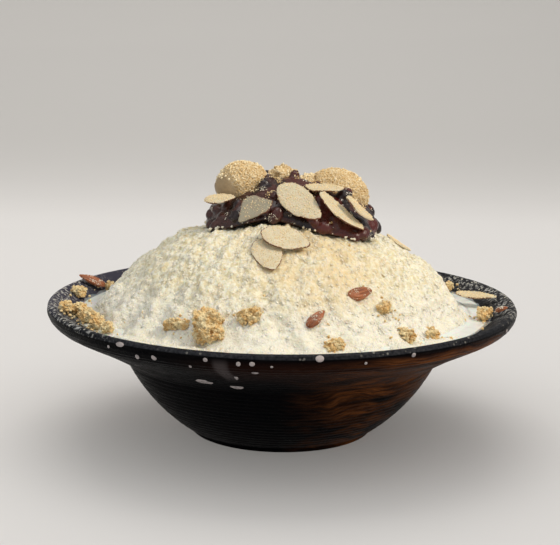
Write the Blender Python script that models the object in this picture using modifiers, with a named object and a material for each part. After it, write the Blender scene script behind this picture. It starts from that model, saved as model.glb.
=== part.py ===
"""A bowl of milk shaved ice with red beans, rice cakes, sliced almonds and soybean crumble.

Units are metres and +Z is up. The bowl stands on Z = 0 with its axis on the Z axis, and the
side that is served towards the eater faces -Y. Every separate piece of food is one object.
"""

import math

import bmesh
import bpy
from mathutils import Matrix, Vector, noise

MM = 0.001

# Bowl: a thrown stoneware bowl with a wide sloping rim on a narrower well.
RIM_RADIUS = 105.0 * MM
BOWL_HEIGHT = 59.6 * MM
FOOT_RADIUS = 41.2 * MM
FOOT_INNER_RADIUS = 35.5 * MM
FOOT_HEIGHT = 1.8 * MM
NECK_RADIUS = 70.5 * MM
NECK_HEIGHT = 34.8 * MM
WELL_FLOOR = 7.0 * MM
WELL_RADIUS = 33.0 * MM
RIM_CREST_RADIUS = 103.4 * MM
RIM_SLOPE_RADIUS = 101.2 * MM
RIM_FOOT_RADIUS = 69.0 * MM
RIM_SLOPE = 0.552
WALL_BULGE = 2.5 * MM

# Steps round the axis of the bowl, the ice and the milk, the same for all so that their facets line up.
TURN_STEPS = 44

# Ice: a heap whose side falls away ever faster and ends in a thin skirt on the bowl's rim.
ICE_FOOT_RADIUS = 87.0 * MM
ICE_FOOT = BOWL_HEIGHT - 8.5 * MM
ICE_RISE = 42.5 * MM
ICE_SHOULDER = 3.2
ICE_SKIRT = 1.25
ICE_LUMP = 1.5 * MM
ICE_LUMP_SIZE = 24.0 * MM
ICE_RINGS = 11
ICE_RING_CROWDING = 1.25

# Where the spoon pushed the ice up in front of the beans.
MOUND_HEIGHT = 5.5 * MM
MOUND_MIDDLE = Vector((-8.0, -29.0)) * MM
MOUND_SPREAD = Vector((16.0, 11.0)) * MM

# Milk: what has melted stands level round the foot of the ice.
MILK_LEVEL = BOWL_HEIGHT - 5.5 * MM

# Red beans: a spooned heap on top of the ice, wider from side to side than from front to back.
PASTE_HALF_WIDTH = 40.0 * MM
PASTE_FRONT_DEPTH = 27.0 * MM
PASTE_BACK_DEPTH = 33.0 * MM
PASTE_OFFSET = 3.0 * MM
PASTE_THICKNESS = 20.5 * MM
PASTE_LOBE = 0.22
PASTE_LOBE_AZIMUTH = math.radians(-33.0)
PASTE_LOBE_WIDTH = math.radians(20.0)
PASTE_STEPS = 32
PASTE_RINGS = 7

# Clearance between neighbouring pieces, and the larger one under the beans.
GAP = 0.35 * MM
BED_GAP = 0.9 * MM

ALMOND_THICKNESS = 1.1 * MM
ALMOND_SEGMENTS = 16


def material(name, colour, roughness):
    """A plain Principled material in the piece's own colour."""
    made = bpy.data.materials.new(name)
    made.use_nodes = True
    shader = made.node_tree.nodes["Principled BSDF"]
    shader.inputs["Base Color"].default_value = (*colour, 1.0)
    shader.inputs["Roughness"].default_value = roughness
    shader.inputs["Metallic"].default_value = 0.0
    return made


def collection(name, parent):
    made = bpy.data.collections.new(name)
    parent.children.link(made)
    return made


def add_object(name, mesh, home, finish=None):
    """Puts a finished mesh in the scene as one named object."""
    obj = bpy.data.objects.new(name, mesh)
    home.objects.link(obj)
    if finish:
        mesh.materials.append(finish)
    mesh.shade_smooth()
    return obj


def mesh_from(shape, name):
    """Turns a bmesh into a mesh with its faces pointing out, and frees it."""
    bmesh.ops.recalc_face_normals(shape, faces=shape.faces)
    mesh = bpy.data.meshes.new(name)
    shape.to_mesh(mesh)
    shape.free()
    return mesh


def arc(start, end, bulge, steps):
    """Points of a round arc from start to end, without end. A positive bulge lies right of the way there."""
    chord = Vector((end[0] - start[0], end[1] - start[1]))
    middle = Vector(start) + chord / 2
    side = Vector((chord.y, -chord.x)).normalized()
    radius = (chord.length**2 / 4 + bulge**2) / (2 * abs(bulge))
    centre = middle + side * (bulge - math.copysign(radius, bulge))
    half = math.asin(chord.length / 2 / radius)
    middle_angle = math.atan2(*reversed(side * math.copysign(1, bulge)))
    turn = math.copysign(half, bulge)
    angles = [middle_angle - turn + 2 * turn * i / steps for i in range(steps)]
    return [(centre.x + radius * math.cos(a), centre.y + radius * math.sin(a)) for a in angles]


def smooth_step(low, high, value):
    t = min(1.0, max(0.0, (value - low) / (high - low)))
    return t * t * (3.0 - 2.0 * t)


# ---------------------------------------------------------------- bowl

def rim_surface(radius):
    """Height of the sloping upper face of the rim."""
    return BOWL_HEIGHT - 0.4 * MM - (RIM_SLOPE_RADIUS - radius) * RIM_SLOPE


def well_wall():
    """The inside of the bowl from its floor to the foot of the rim, as (radius, height) points."""
    low = (WELL_RADIUS + 4.5 * MM, WELL_FLOOR + 1.0 * MM)
    high = (RIM_FOOT_RADIUS - 2.6 * MM, rim_surface(RIM_FOOT_RADIUS) - 2.8 * MM)
    wall = arc(low, high, WALL_BULGE, 4)
    return [(WELL_RADIUS, WELL_FLOOR), *wall, high, (RIM_FOOT_RADIUS, rim_surface(RIM_FOOT_RADIUS))]


def bowl_profile():
    """Half of the bowl's section: up the inside, over the lip, down the outside and under the foot."""
    lip = [
        (RIM_SLOPE_RADIUS, BOWL_HEIGHT - 0.4 * MM),
        (RIM_SLOPE_RADIUS + 0.9 * MM, BOWL_HEIGHT - 0.05 * MM),
        (RIM_CREST_RADIUS, BOWL_HEIGHT),
        (RIM_RADIUS - 0.6 * MM, BOWL_HEIGHT - 0.7 * MM),
        (RIM_RADIUS, BOWL_HEIGHT - 2.2 * MM),
        (RIM_RADIUS - 0.4 * MM, BOWL_HEIGHT - 4.6 * MM),
        (RIM_RADIUS - 2.2 * MM, BOWL_HEIGHT - 7.2 * MM),
    ]
    under_rim = arc(
        (RIM_RADIUS - 5.5 * MM, BOWL_HEIGHT - 9.6 * MM),
        (NECK_RADIUS + 1.6 * MM, NECK_HEIGHT + 0.6 * MM),
        0.6 * MM,
        2,
    )
    neck = [(NECK_RADIUS + 1.6 * MM, NECK_HEIGHT + 0.6 * MM), (NECK_RADIUS, NECK_HEIGHT - 0.7 * MM)]
    outer_wall = arc(
        (NECK_RADIUS - 0.7 * MM, NECK_HEIGHT - 2.4 * MM),
        (FOOT_RADIUS + 2.6 * MM, FOOT_HEIGHT + 0.7 * MM),
        -WALL_BULGE,
        5,
    )
    foot = [
        (FOOT_RADIUS + 2.6 * MM, FOOT_HEIGHT + 0.7 * MM),
        (FOOT_RADIUS, FOOT_HEIGHT),
        (FOOT_RADIUS, 0.35 * MM),
        (FOOT_RADIUS - 0.5 * MM, 0.0),
        (FOOT_INNER_RADIUS, 0.0),
        (FOOT_INNER_RADIUS - 1.2 * MM, FOOT_HEIGHT),
        (0.0, FOOT_HEIGHT),
    ]
    return [(0.0, WELL_FLOOR), *well_wall(), *lip, *under_rim, *neck, *outer_wall, *foot]


def make_bowl(home, finish):
    """The bowl is its section turned once round the axis by a Screw modifier."""
    section = bmesh.new()
    corners = [section.verts.new((r, 0.0, z)) for r, z in bowl_profile()]
    for pair in zip(corners, corners[1:]):
        section.edges.new(pair)
    mesh = bpy.data.meshes.new("bowl")
    section.to_mesh(mesh)
    section.free()
    bowl = bpy.data.objects.new("bowl", mesh)
    mesh.materials.append(finish)
    home.objects.link(bowl)
    turn = bowl.modifiers.new("turn", "SCREW")
    turn.steps = TURN_STEPS
    turn.render_steps = TURN_STEPS
    turn.use_merge_vertices = True
    turn.merge_threshold = 0.00005
    turn.use_smooth_shade = True
    return bowl


# ---------------------------------------------------------------- ice and milk

def ice_height(radius, azimuth):
    """Height of the ice at a distance from the axis, in the direction azimuth in radians."""
    share = min(1.0, radius / ICE_FOOT_RADIUS)
    dome = ICE_FOOT + ICE_RISE * (1.0 - share**ICE_SHOULDER) ** ICE_SKIRT
    place = Vector((radius * math.cos(azimuth), radius * math.sin(azimuth), 0.0))
    bare = smooth_step(30 * MM, 46 * MM, radius) * (1.0 - smooth_step(72 * MM, 82 * MM, radius))
    lump = ICE_LUMP * bare * noise.noise(place / ICE_LUMP_SIZE + Vector((3.1, 0.7, 1.9)))
    way = place.xy - MOUND_MIDDLE
    far = (way.x / MOUND_SPREAD.x) ** 2 + (way.y / MOUND_SPREAD.y) ** 2
    return dome + lump + MOUND_HEIGHT * math.exp(-far)


def spun(profile, steps):
    """A closed bmesh from an (radius, height) profile that starts and ends on the axis."""
    shape = bmesh.new()
    corners = [shape.verts.new((r, 0.0, z)) for r, z in profile]
    edges = [shape.edges.new(pair) for pair in zip(corners, corners[1:])]
    bmesh.ops.spin(
        shape,
        geom=corners + edges,
        cent=(0, 0, 0),
        axis=(0, 0, 1),
        angle=math.tau,
        steps=steps,
        use_merge=True,
    )
    bmesh.ops.remove_doubles(shape, verts=shape.verts, dist=1e-6)
    return shape


def make_ice(home, finish):
    """One solid that fills the well and heaps up over the rim."""
    seat_radius = ICE_FOOT_RADIUS - 0.6 * MM
    steps = [i / ICE_RINGS for i in range(ICE_RINGS + 1)]
    top = [seat_radius * (1.0 - (1.0 - step) ** ICE_RING_CROWDING) for step in steps]
    surface = [(r, ice_height(r, 0.0) + 1.0) for r in top]
    well = [(r - GAP, z + GAP) for r, z in reversed(well_wall())]
    rim_edge = (seat_radius, rim_surface(seat_radius) + GAP)
    shape = spun([*surface, rim_edge, *well, (0.0, WELL_FLOOR + GAP)], TURN_STEPS)
    for vertex in shape.verts:
        if vertex.co.z > 0.5:
            radius = vertex.co.xy.length
            vertex.co.z = ice_height(radius, math.atan2(vertex.co.y, vertex.co.x))
    return add_object("shaved_ice", mesh_from(shape, "shaved_ice"), home, finish)


def ice_shore():
    """The radius at which the skirt of the ice goes under the milk."""
    radius = ICE_FOOT_RADIUS
    while ice_height(radius, 0.0) < MILK_LEVEL:
        radius -= 0.05 * MM
    return radius


def make_milk(home, finish):
    """A thin level ring between the ice and the rim's slope."""
    inner = ice_shore() + GAP
    outer = RIM_SLOPE_RADIUS - (BOWL_HEIGHT - 0.4 * MM - MILK_LEVEL) / RIM_SLOPE - GAP
    low = ICE_FOOT_RADIUS + 0.3 * MM
    depth = rim_surface(low) + 2 * GAP
    section = [(inner, MILK_LEVEL), (outer, MILK_LEVEL), (low, depth), (low - GAP, depth)]
    shape = bmesh.new()
    corners = [shape.verts.new((r, 0.0, z)) for r, z in section]
    edges = [shape.edges.new((corners[i - 1], corners[i])) for i in range(len(corners))]
    bmesh.ops.spin(
        shape,
        geom=corners + edges,
        cent=(0, 0, 0),
        axis=(0, 0, 1),
        angle=math.tau,
        steps=TURN_STEPS,
        use_merge=True,
    )
    return add_object("melted_milk", mesh_from(shape, "melted_milk"), home, finish)


# ---------------------------------------------------------------- red beans and rice cakes

def paste_edge(azimuth):
    """How far the beans reach from their middle, with a few soft lobes and one that ran down to the right."""
    depth = PASTE_BACK_DEPTH if azimuth > 0 else PASTE_FRONT_DEPTH
    oval = 1.0 / math.hypot(math.cos(azimuth) / PASTE_HALF_WIDTH, math.sin(azimuth) / depth)
    lobes = 1.0 + 0.03 * math.sin(5 * azimuth + 0.6) + 0.02 * math.sin(9 * azimuth)
    run = PASTE_LOBE * math.exp(-(((azimuth - PASTE_LOBE_AZIMUTH) / PASTE_LOBE_WIDTH) ** 2))
    return oval * (lobes + run)


def paste_height(x, y):
    """Height of the top of the bean heap over the point (x, y)."""
    dx = x - PASTE_OFFSET
    share = min(1.0, math.hypot(dx, y) / paste_edge(math.atan2(y, dx)))
    bed = ice_height(math.hypot(x, y), math.atan2(y, x)) + BED_GAP
    return bed + 0.6 * MM + PASTE_THICKNESS * (1.0 - share**1.8) ** 0.7


def make_paste(home, finish):
    """The heap is turned at unit radius first, and then laid over the ice."""
    rings = [math.sin(math.pi / 2 * i / PASTE_RINGS) for i in range(PASTE_RINGS + 1)]
    top = [(share, 1.0) for share in rings]
    bottom = [(share, 0.0) for share in (0.985, 0.8, 0.6, 0.3, 0.0)]
    shape = spun([*top, *bottom], PASTE_STEPS)
    for vertex in shape.verts:
        share, azimuth = vertex.co.xy.length, math.atan2(vertex.co.y, vertex.co.x)
        reach = share * paste_edge(azimuth)
        x = PASTE_OFFSET + reach * math.cos(azimuth)
        y = reach * math.sin(azimuth)
        bed = ice_height(math.hypot(x, y), math.atan2(y, x)) + BED_GAP
        vertex.co = Vector((x, y, paste_height(x, y) if vertex.co.z > 0.5 else bed))
    return add_object("red_beans", mesh_from(shape, "red_beans"), home, finish)


def cake_shape(half_sizes, grow=0.0):
    """A soft round cake, a little flatter underneath."""
    shape = bmesh.new()
    bmesh.ops.create_uvsphere(shape, u_segments=20, v_segments=11, radius=1.0)
    for vertex in shape.verts:
        sag = 0.86 if vertex.co.z < 0 else 1.0
        round_off = 1.0 + 0.05 * (1.0 - vertex.co.z**2) * math.cos(2 * math.atan2(vertex.co.y, vertex.co.x))
        sizes = [half + grow for half in half_sizes]
        x, y, z = vertex.co
        vertex.co = Vector((x * sizes[0] * round_off, y * sizes[1], z * sizes[2] * sag))
    return shape


# name, middle (x, y, z above the rim), half sizes, lean about X and Y in degrees
RICE_CAKES = (
    ("rice_cake_left", (-18.2, 3.0, 49.7), (12.6, 12.2, 12.2), (6.0, -10.0)),
    ("rice_cake_right", (24.2, 2.5, 47.0), (14.2, 13.0, 12.0), (4.0, 17.0)),
)


# ---------------------------------------------------------------- toppings

def surface_height(x, y):
    """The highest of ice, milk and rim over the point (x, y)."""
    radius = math.hypot(x, y)
    heights = [ice_height(radius, math.atan2(y, x))] if radius < ICE_FOOT_RADIUS else []
    if radius > ice_shore():
        heights.append(MILK_LEVEL)
    if radius > RIM_FOOT_RADIUS:
        heights.append(rim_surface(radius))
    return max(heights)


def facing(centre, normal, spin):
    """A pose whose local Z is normal, with local X level and then turned by spin degrees."""
    up = normal.normalized()
    level = Vector((0, 0, 1)).cross(up)
    if level.length < 1e-6:
        level = Vector((1, 0, 0))
    level.normalize()
    frame = Matrix((level, up.cross(level), up)).transposed().to_4x4()
    return Matrix.Translation(centre) @ frame @ Matrix.Rotation(math.radians(spin), 4, "Z")


def lying(azimuth, radius, lift, spin):
    """The pose of a piece that lies on the food or the rim, lift millimetres above it."""
    angle = math.radians(azimuth)
    x, y = radius * MM * math.cos(angle), radius * MM * math.sin(angle)
    step = 1.5 * MM
    slope_x = (surface_height(x + step, y) - surface_height(x - step, y)) / (2 * step)
    slope_y = (surface_height(x, y + step) - surface_height(x, y - step)) / (2 * step)
    normal = Vector((-slope_x, -slope_y, 1.0)).normalized()
    centre = Vector((x, y, surface_height(x, y))) + normal * lift * MM
    return facing(centre, normal, spin)


def leaning(x, y, above_rim, azimuth, elevation, spin):
    """The pose of a slice that leans on the beans: its place, and where its face looks."""
    a, e = math.radians(azimuth), math.radians(elevation)
    normal = Vector((math.cos(a) * math.cos(e), math.sin(a) * math.cos(e), math.sin(e)))
    return facing(Vector((x * MM, y * MM, BOWL_HEIGHT + above_rim * MM)), normal, spin)


def almond_shape(length, width, curl, grow=0.0):
    """A thin slice cut along an almond: blunt at one end and pointed at the other."""
    shape = bmesh.new()
    bmesh.ops.create_circle(shape, cap_ends=True, radius=1.0, segments=ALMOND_SEGMENTS)
    thickness = ALMOND_THICKNESS + 2 * grow
    for vertex in shape.verts:
        u, v = vertex.co.x, vertex.co.y
        narrowing = 1.0 - 0.24 * u - 0.12 * u * u
        vertex.co = Vector((u * (length / 2 + grow), v * narrowing * (width / 2 + grow), -thickness / 2))
    wall = bmesh.ops.extrude_face_region(shape, geom=list(shape.faces))
    raised = [item for item in wall["geom"] if isinstance(item, bmesh.types.BMVert)]
    bmesh.ops.translate(shape, verts=raised, vec=(0, 0, thickness))
    for vertex in shape.verts:
        vertex.co.z += curl * (vertex.co.x / (length / 2)) ** 2
    return shape


def nut_shape(length, width, height, grow=0.0):
    """A half almond with its skin on: a drop that is round above and flatter below."""
    shape = bmesh.new()
    bmesh.ops.create_icosphere(shape, subdivisions=2, radius=1.0)
    for vertex in shape.verts:
        x, y, z = vertex.co
        narrowing = 1.0 - 0.30 * x - 0.10 * x * x
        depth = 0.55 if z < 0 else 1.0
        vertex.co = Vector(
            (
                x * (length / 2 + grow),
                y * narrowing * (width / 2 + grow),
                z * depth * narrowing * (height / 2 + grow),
            )
        )
    return shape


def crumble_shape(length, width, height, variant, grow=0.0):
    """A baked crumb: a pebble with dents and bumps, different for each variant."""
    shape = bmesh.new()
    bmesh.ops.create_icosphere(shape, subdivisions=2, radius=1.0)
    offset = Vector((variant * 2.7, variant * 1.3, variant * 0.9))
    for vertex in shape.verts:
        swell = 1.0 + 0.22 * noise.noise(vertex.co * 1.6 + offset)
        direction = vertex.co.normalized()
        x, y, z = vertex.co * swell
        vertex.co = Vector((x * length / 2, y * width / 2, z * height / 2)) + direction * grow
    return shape


# name, x, y and height above the rim of its middle, where its face looks, spin, length, width, curl
LEANING_ALMONDS = (
    ("almond_front_large", 7.0, -23.2, 46.6, -87, 42, -48, 24.0, 13.6, 0.7),
    ("almond_front_left", -12.2, -24.2, 44.2, -100, 42, 42, 20.0, 12.5, 0.8),
    ("almond_right_low", 24.8, -23.0, 42.3, -30, 47, -68, 25.0, 11.0, 1.0),
    ("almond_right_frosted", 32.8, -21.6, 43.6, -22, 44, -64, 16.0, 9.0, 0.6),
    ("almond_right_high", 17.8, -14.6, 51.6, -84, 76, -8, 17.0, 10.0, 0.5),
    ("almond_left_tucked", -27.6, -10.6, 46.0, -120, 70, 14, 14.0, 9.0, 0.4),
    ("almond_back_large", -4.0, 22.6, 45.6, 96, 46, -30, 22.0, 12.0, 0.7),
    ("almond_back_right", 16.5, 24.6, 43.0, 66, 40, 44, 20.0, 11.5, 0.8),
    ("almond_rim_right", 88.8, 10.0, -0.2, -100, 84, -12, 19.0, 9.0, 0.4),
)

# name, azimuth, distance from the axis and height over the food, spin, length, width, curl
LYING_ALMONDS = (
    ("almond_ice_upper", -88.5, 40.0, 2.8, -26, 22.0, 13.0, 0.6),
    ("almond_ice_lower", -97.5, 46.5, 0.9, -74, 21.0, 12.5, 0.5),
    ("almond_ice_right", 3.0, 51.5, 0.9, 70, 13.0, 8.0, 0.4),
    ("almond_ice_back", 112.0, 58.0, 0.9, 24, 21.0, 12.0, 0.6),
    ("almond_ice_back_left", 147.0, 56.0, 0.9, -48, 18.0, 11.0, 0.6),
)

# name, azimuth, distance from the axis and height over the food, spin, length, width, height
NUTS = (
    ("nut_front_right", -61.0, 65.2, 0.7, 12, 13.0, 6.4, 5.2),
    ("nut_front_low", -79.4, 73.2, 0.6, 46, 11.6, 5.2, 4.6),
    ("nut_rim_left", 158.9, 98.0, 2.2, 118, 14.4, 7.6, 4.8),
    ("nut_rim_right", -12.6, 99.0, 1.9, 60, 7.8, 4.4, 3.4),
    ("nut_back_left", 132.0, 70.0, 0.6, 34, 12.0, 6.0, 5.0),
    ("nut_back_right", 64.0, 66.0, 0.6, -28, 12.5, 6.2, 5.0),
)

# name, azimuth, distance from the axis and height over the food, spin, length, width, height
CRUMBLES = (
    ("crumble_front_large", -112.0, 77.0, 1.8, -62, 16.0, 12.5, 10.0),
    ("crumble_front_small", -100.3, 73.0, 0.8, 10, 9.6, 7.6, 6.6),
    ("crumble_front_flat", -123.2, 77.2, 0.5, 10, 11.5, 5.2, 4.6),
    ("crumble_right_high", -54.4, 71.2, 0.6, 20, 6.8, 5.6, 5.2),
    ("crumble_right_low", -51.4, 81.2, 1.2, -35, 7.4, 6.0, 5.6),
    ("crumble_right_edge", -41.7, 82.4, 1.3, 25, 6.8, 5.4, 5.2),
    ("crumble_front_edge", -75.4, 81.4, 1.1, 5, 7.8, 5.2, 4.6),
    ("crumble_rim_right", -11.2, 91.0, 2.9, 20, 8.8, 6.2, 5.4),
    ("crumble_milk_right", 28.6, 92.0, 2.4, 70, 5.2, 4.4, 4.4),
    ("crumble_rim_left_a", 171.0, 96.0, 2.3, 80, 7.4, 4.8, 4.4),
    ("crumble_rim_left_b", -164.6, 98.4, 2.6, 35, 5.8, 5.0, 4.8),
    ("crumble_rim_left_c", -167.5, 91.6, 3.1, 60, 9.6, 7.4, 6.0),
    ("crumble_rim_left_d", -159.6, 88.6, 2.9, 20, 8.4, 7.2, 6.4),
    ("crumble_rim_left_e", -151.6, 88.6, 2.6, 70, 8.0, 6.0, 5.4),
    ("crumble_rim_left_f", -145.6, 88.2, 2.4, 120, 6.6, 5.0, 4.8),
    ("crumble_milk_left", 155.0, 91.6, 2.3, 80, 4.6, 4.0, 4.0),
    ("crumble_back_left", 118.0, 76.0, 1.0, 40, 9.6, 7.0, 6.0),
    ("crumble_back_right", 78.0, 78.0, 1.2, -20, 12.0, 8.4, 7.0),
    ("crumble_back_edge", 44.0, 80.5, 1.0, 15, 8.6, 6.2, 5.6),
)

# Clumps of damp soybean powder that fell between the rice cakes: as for the cakes, without the lean
POWDER_CLUMPS = (
    ("powder_clump_left", (-0.8, 3.0, 54.2), (7.0, 6.4, 5.6)),
    ("powder_clump_right", (11.6, -1.0, 52.4), (5.6, 5.4, 4.2)),
)


def place(shape, pose, name, home, finish=None):
    """Sets a modelled piece at its pose as an object."""
    obj = add_object(name, mesh_from(shape, name), home, finish)
    obj.matrix_world = pose
    return obj


def make_cutter(shape, pose, name, cutters):
    """A slightly larger copy of a piece, which makes room for it in the food around it."""
    cutter = place(shape, pose, name + "_cutter", cutters)
    cutter.hide_render = True
    cutter.display_type = "WIRE"


def make_room(obj, cutters):
    """Cuts the places of the toppings out of a piece that they sink into."""
    cut = obj.modifiers.new("room for toppings", "BOOLEAN")
    cut.operation = "DIFFERENCE"
    cut.solver = "EXACT"
    cut.operand_type = "COLLECTION"
    cut.collection = cutters


def make_toppings(home, cutters, cake_cutters, finishes):
    for name, middle, halves, lean in RICE_CAKES:
        x, y, z = middle
        centre = Vector((x * MM, y * MM, BOWL_HEIGHT + z * MM))
        turn = Matrix.Rotation(math.radians(lean[0]), 4, "X") @ Matrix.Rotation(math.radians(lean[1]), 4, "Y")
        pose = Matrix.Translation(centre) @ turn
        sizes = [half * MM for half in halves]
        place(cake_shape(sizes), pose, name, home, finishes["rice_cake"])
        make_cutter(cake_shape(sizes, GAP), pose, name, cake_cutters)

    for variant, (name, middle, halves) in enumerate(POWDER_CLUMPS):
        pose = Matrix.Translation(Vector(middle) * MM + Vector((0, 0, BOWL_HEIGHT)))
        length, width, height = (2 * half * MM for half in halves)
        shape = crumble_shape(length, width, height, variant + 0.5)
        make_room(place(shape, pose, name, home, finishes["rice_cake"]), cake_cutters)
        make_cutter(crumble_shape(length, width, height, variant + 0.5, GAP), pose, name, cutters)

    leaning_poses = [(row[0], leaning(*row[1:7]), row[7:]) for row in LEANING_ALMONDS]
    lying_poses = [(row[0], lying(*row[1:5]), row[5:]) for row in LYING_ALMONDS]
    for name, pose, sizes in leaning_poses + lying_poses:
        length, width, curl = (size * MM for size in sizes)
        place(almond_shape(length, width, curl), pose, name, home, finishes["almond"])
        make_cutter(almond_shape(length, width, curl, GAP), pose, name, cutters)

    for name, azimuth, radius, lift, spin, *sizes in NUTS:
        length, width, height = (size * MM for size in sizes)
        pose = lying(azimuth, radius, lift, spin)
        place(nut_shape(length, width, height), pose, name, home, finishes["almond_skin"])
        make_cutter(nut_shape(length, width, height, GAP), pose, name, cutters)

    for variant, (name, azimuth, radius, lift, spin, *sizes) in enumerate(CRUMBLES):
        length, width, height = (size * MM for size in sizes)
        pose = lying(azimuth, radius, lift, spin)
        place(crumble_shape(length, width, height, variant), pose, name, home, finishes["crumble"])
        make_cutter(crumble_shape(length, width, height, variant, GAP), pose, name, cutters)


def main():
    for obj in list(bpy.data.objects):
        bpy.data.objects.remove(obj)
    dessert = collection("shaved_ice_dessert", bpy.context.scene.collection)
    cutters = collection("cutters", bpy.context.scene.collection)
    cutters.hide_render = True
    cake_cutters = collection("cake_cutters", cutters)
    finishes = {
        "glaze": material("black_glaze", (0.012, 0.011, 0.012), 0.42),
        "ice": material("milk_ice", (0.86, 0.82, 0.68), 0.6),
        "milk": material("milk", (0.85, 0.84, 0.78), 0.18),
        "beans": material("red_beans", (0.045, 0.012, 0.014), 0.22),
        "rice_cake": material("soybean_powder", (0.72, 0.50, 0.22), 0.85),
        "almond": material("almond", (0.72, 0.60, 0.42), 0.6),
        "almond_skin": material("almond_skin", (0.32, 0.12, 0.05), 0.5),
        "crumble": material("crumble", (0.66, 0.42, 0.18), 0.75),
    }
    make_bowl(dessert, finishes["glaze"])
    ice = make_ice(dessert, finishes["ice"])
    milk = make_milk(dessert, finishes["milk"])
    paste = make_paste(dessert, finishes["beans"])
    make_toppings(dessert, cutters, cake_cutters, finishes)
    for piece in (ice, milk, paste):
        make_room(piece, cutters)


main()
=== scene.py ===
# %% [markdown]
# # A bowl of milk shaved ice
#
# This lesson dresses a finished construction model of a dessert: a black stoneware bowl, a heap of
# milk ice, sweet red beans, rice cakes in roasted soybean powder, sliced almonds and baked crumble.
# The construction model gives every size and place. Here each plain solid is replaced by a piece
# that has the relief, the wetness and the colour of the real food, and nothing is moved.

import math

import bmesh
import bpy
import numpy as np
from mathutils import Matrix, Vector, noise
from mathutils.bvhtree import BVHTree


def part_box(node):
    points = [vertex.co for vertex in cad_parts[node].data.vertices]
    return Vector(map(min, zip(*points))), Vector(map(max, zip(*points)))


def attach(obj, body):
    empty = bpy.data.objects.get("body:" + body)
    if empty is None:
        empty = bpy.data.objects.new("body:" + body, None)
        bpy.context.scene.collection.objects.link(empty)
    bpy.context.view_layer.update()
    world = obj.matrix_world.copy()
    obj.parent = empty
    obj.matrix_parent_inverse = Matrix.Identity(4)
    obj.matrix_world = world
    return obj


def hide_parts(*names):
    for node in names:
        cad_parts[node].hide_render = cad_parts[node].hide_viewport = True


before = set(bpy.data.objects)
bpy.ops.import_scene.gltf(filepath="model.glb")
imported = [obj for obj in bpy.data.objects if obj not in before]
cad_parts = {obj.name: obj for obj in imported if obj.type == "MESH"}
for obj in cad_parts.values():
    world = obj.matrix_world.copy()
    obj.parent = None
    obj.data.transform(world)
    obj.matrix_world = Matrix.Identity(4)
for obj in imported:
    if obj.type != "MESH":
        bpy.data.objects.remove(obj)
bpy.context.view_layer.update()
MM = 0.001
dessert = bpy.data.collections.new("dessert")
studio = bpy.data.collections.new("studio")
bpy.context.scene.collection.children.link(dessert)
bpy.context.scene.collection.children.link(studio)
rim_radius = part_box("bowl")[1].x
rim_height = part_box("bowl")[1].z
print("bowl:", round(2 * rim_radius / MM), "mm across,", round(rim_height / MM, 1), "mm high")

# %% [markdown]
# ## The camera
#
# A portrait of food is taken from low down and from some distance, so that the heap stands up and
# the bowl isn't bent by perspective. The camera could be placed by hand in the viewport. A few
# driving numbers are better: how far, how high, and which lens, all seen from the middle of the rim.

# %% Camera
camera_distance = 0.62
camera_elevation = math.radians(11.9)
camera_roll = math.radians(0.6)
aim_above_rim = math.radians(1.04)
aim_left_of_rim = math.radians(0.1)
lens = bpy.data.cameras.new("camera")
lens.lens = 88.3
camera = bpy.data.objects.new("camera", lens)
bpy.context.scene.collection.objects.link(camera)
rim_middle = Vector((0.0, 0.0, rim_height))
back = Vector((0.0, -math.cos(camera_elevation), math.sin(camera_elevation)))
turn = Matrix.Rotation(math.pi / 2 - camera_elevation + aim_above_rim, 4, "X")
turn = Matrix.Rotation(aim_left_of_rim, 4, "Z") @ turn @ Matrix.Rotation(camera_roll, 4, "Z")
camera.matrix_world = Matrix.Translation(rim_middle + back * camera_distance) @ turn
bpy.context.scene.camera = camera
print("camera at", [round(c, 3) for c in camera.matrix_world.translation])

# %% [markdown]
# ## Materials in code
#
# Every finish below is a Principled shader fed by a small network. Clicking a network together in the
# Shader Editor and writing it in code give the same thing, and helpers keep the code short: one adds
# a node and feeds its inputs, and the others mix colours, do sums and stretch one range to another.

# %% Shader helpers
def principled(name, **values):
    """A new material and its node tree. values are Principled sockets, with _ for a space."""
    made = bpy.data.materials.new(name)
    made.use_nodes = True
    shader = made.node_tree.nodes["Principled BSDF"]
    for socket, value in values.items():
        shader.inputs[socket.replace("_", " ")].default_value = value
    return made, made.node_tree


def feed(tree, socket, value):
    """Link an input to a socket, or set it to a plain value."""
    if isinstance(value, bpy.types.NodeSocket):
        tree.links.new(value, socket)
    else:
        socket.default_value = value


def add_node(tree, kind, feeds=None, **settings):
    """Add a node. feeds maps input names to sockets or values, and settings are its properties."""
    node = tree.nodes.new(kind)
    for name, value in settings.items():
        setattr(node, name, value)
    for name, value in (feeds or {}).items():
        feed(tree, node.inputs[name], value)
    return node


def finish_shader(tree, colour, roughness=None, relief=None, depth=0.0):
    """Feed the Principled shader its colour, its roughness, and relief that is depth high."""
    shader = tree.nodes["Principled BSDF"]
    feed(tree, shader.inputs["Base Color"], colour)
    if roughness is not None:
        feed(tree, shader.inputs["Roughness"], roughness)
    if relief is not None:
        bump = add_node(tree, "ShaderNodeBump", {"Height": relief, "Distance": depth})
        feed(tree, shader.inputs["Normal"], bump.outputs["Normal"])


def mix(tree, share, first, second):
    """Mix two colours, which are sockets or RGB triples."""
    first, second = ((*c, 1.0) if isinstance(c, tuple) else c for c in (first, second))
    feeds = {"Factor": share, "A": first, "B": second}
    return add_node(tree, "ShaderNodeMix", feeds, data_type="RGBA").outputs["Result"]


def calc(tree, operation, first, second):
    """One sum on numbers."""
    node = add_node(tree, "ShaderNodeMath", operation=operation)
    for socket, value in zip(node.inputs, (first, second)):
        feed(tree, socket, value)
    return node.outputs["Value"]


def times(tree, first, second):
    return calc(tree, "MULTIPLY", first, second)


def vector_calc(tree, operation, *values, output="Vector"):
    """One sum on places or directions."""
    feeds = dict(enumerate(values))
    return add_node(tree, "ShaderNodeVectorMath", feeds, operation=operation).outputs[output]


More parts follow.
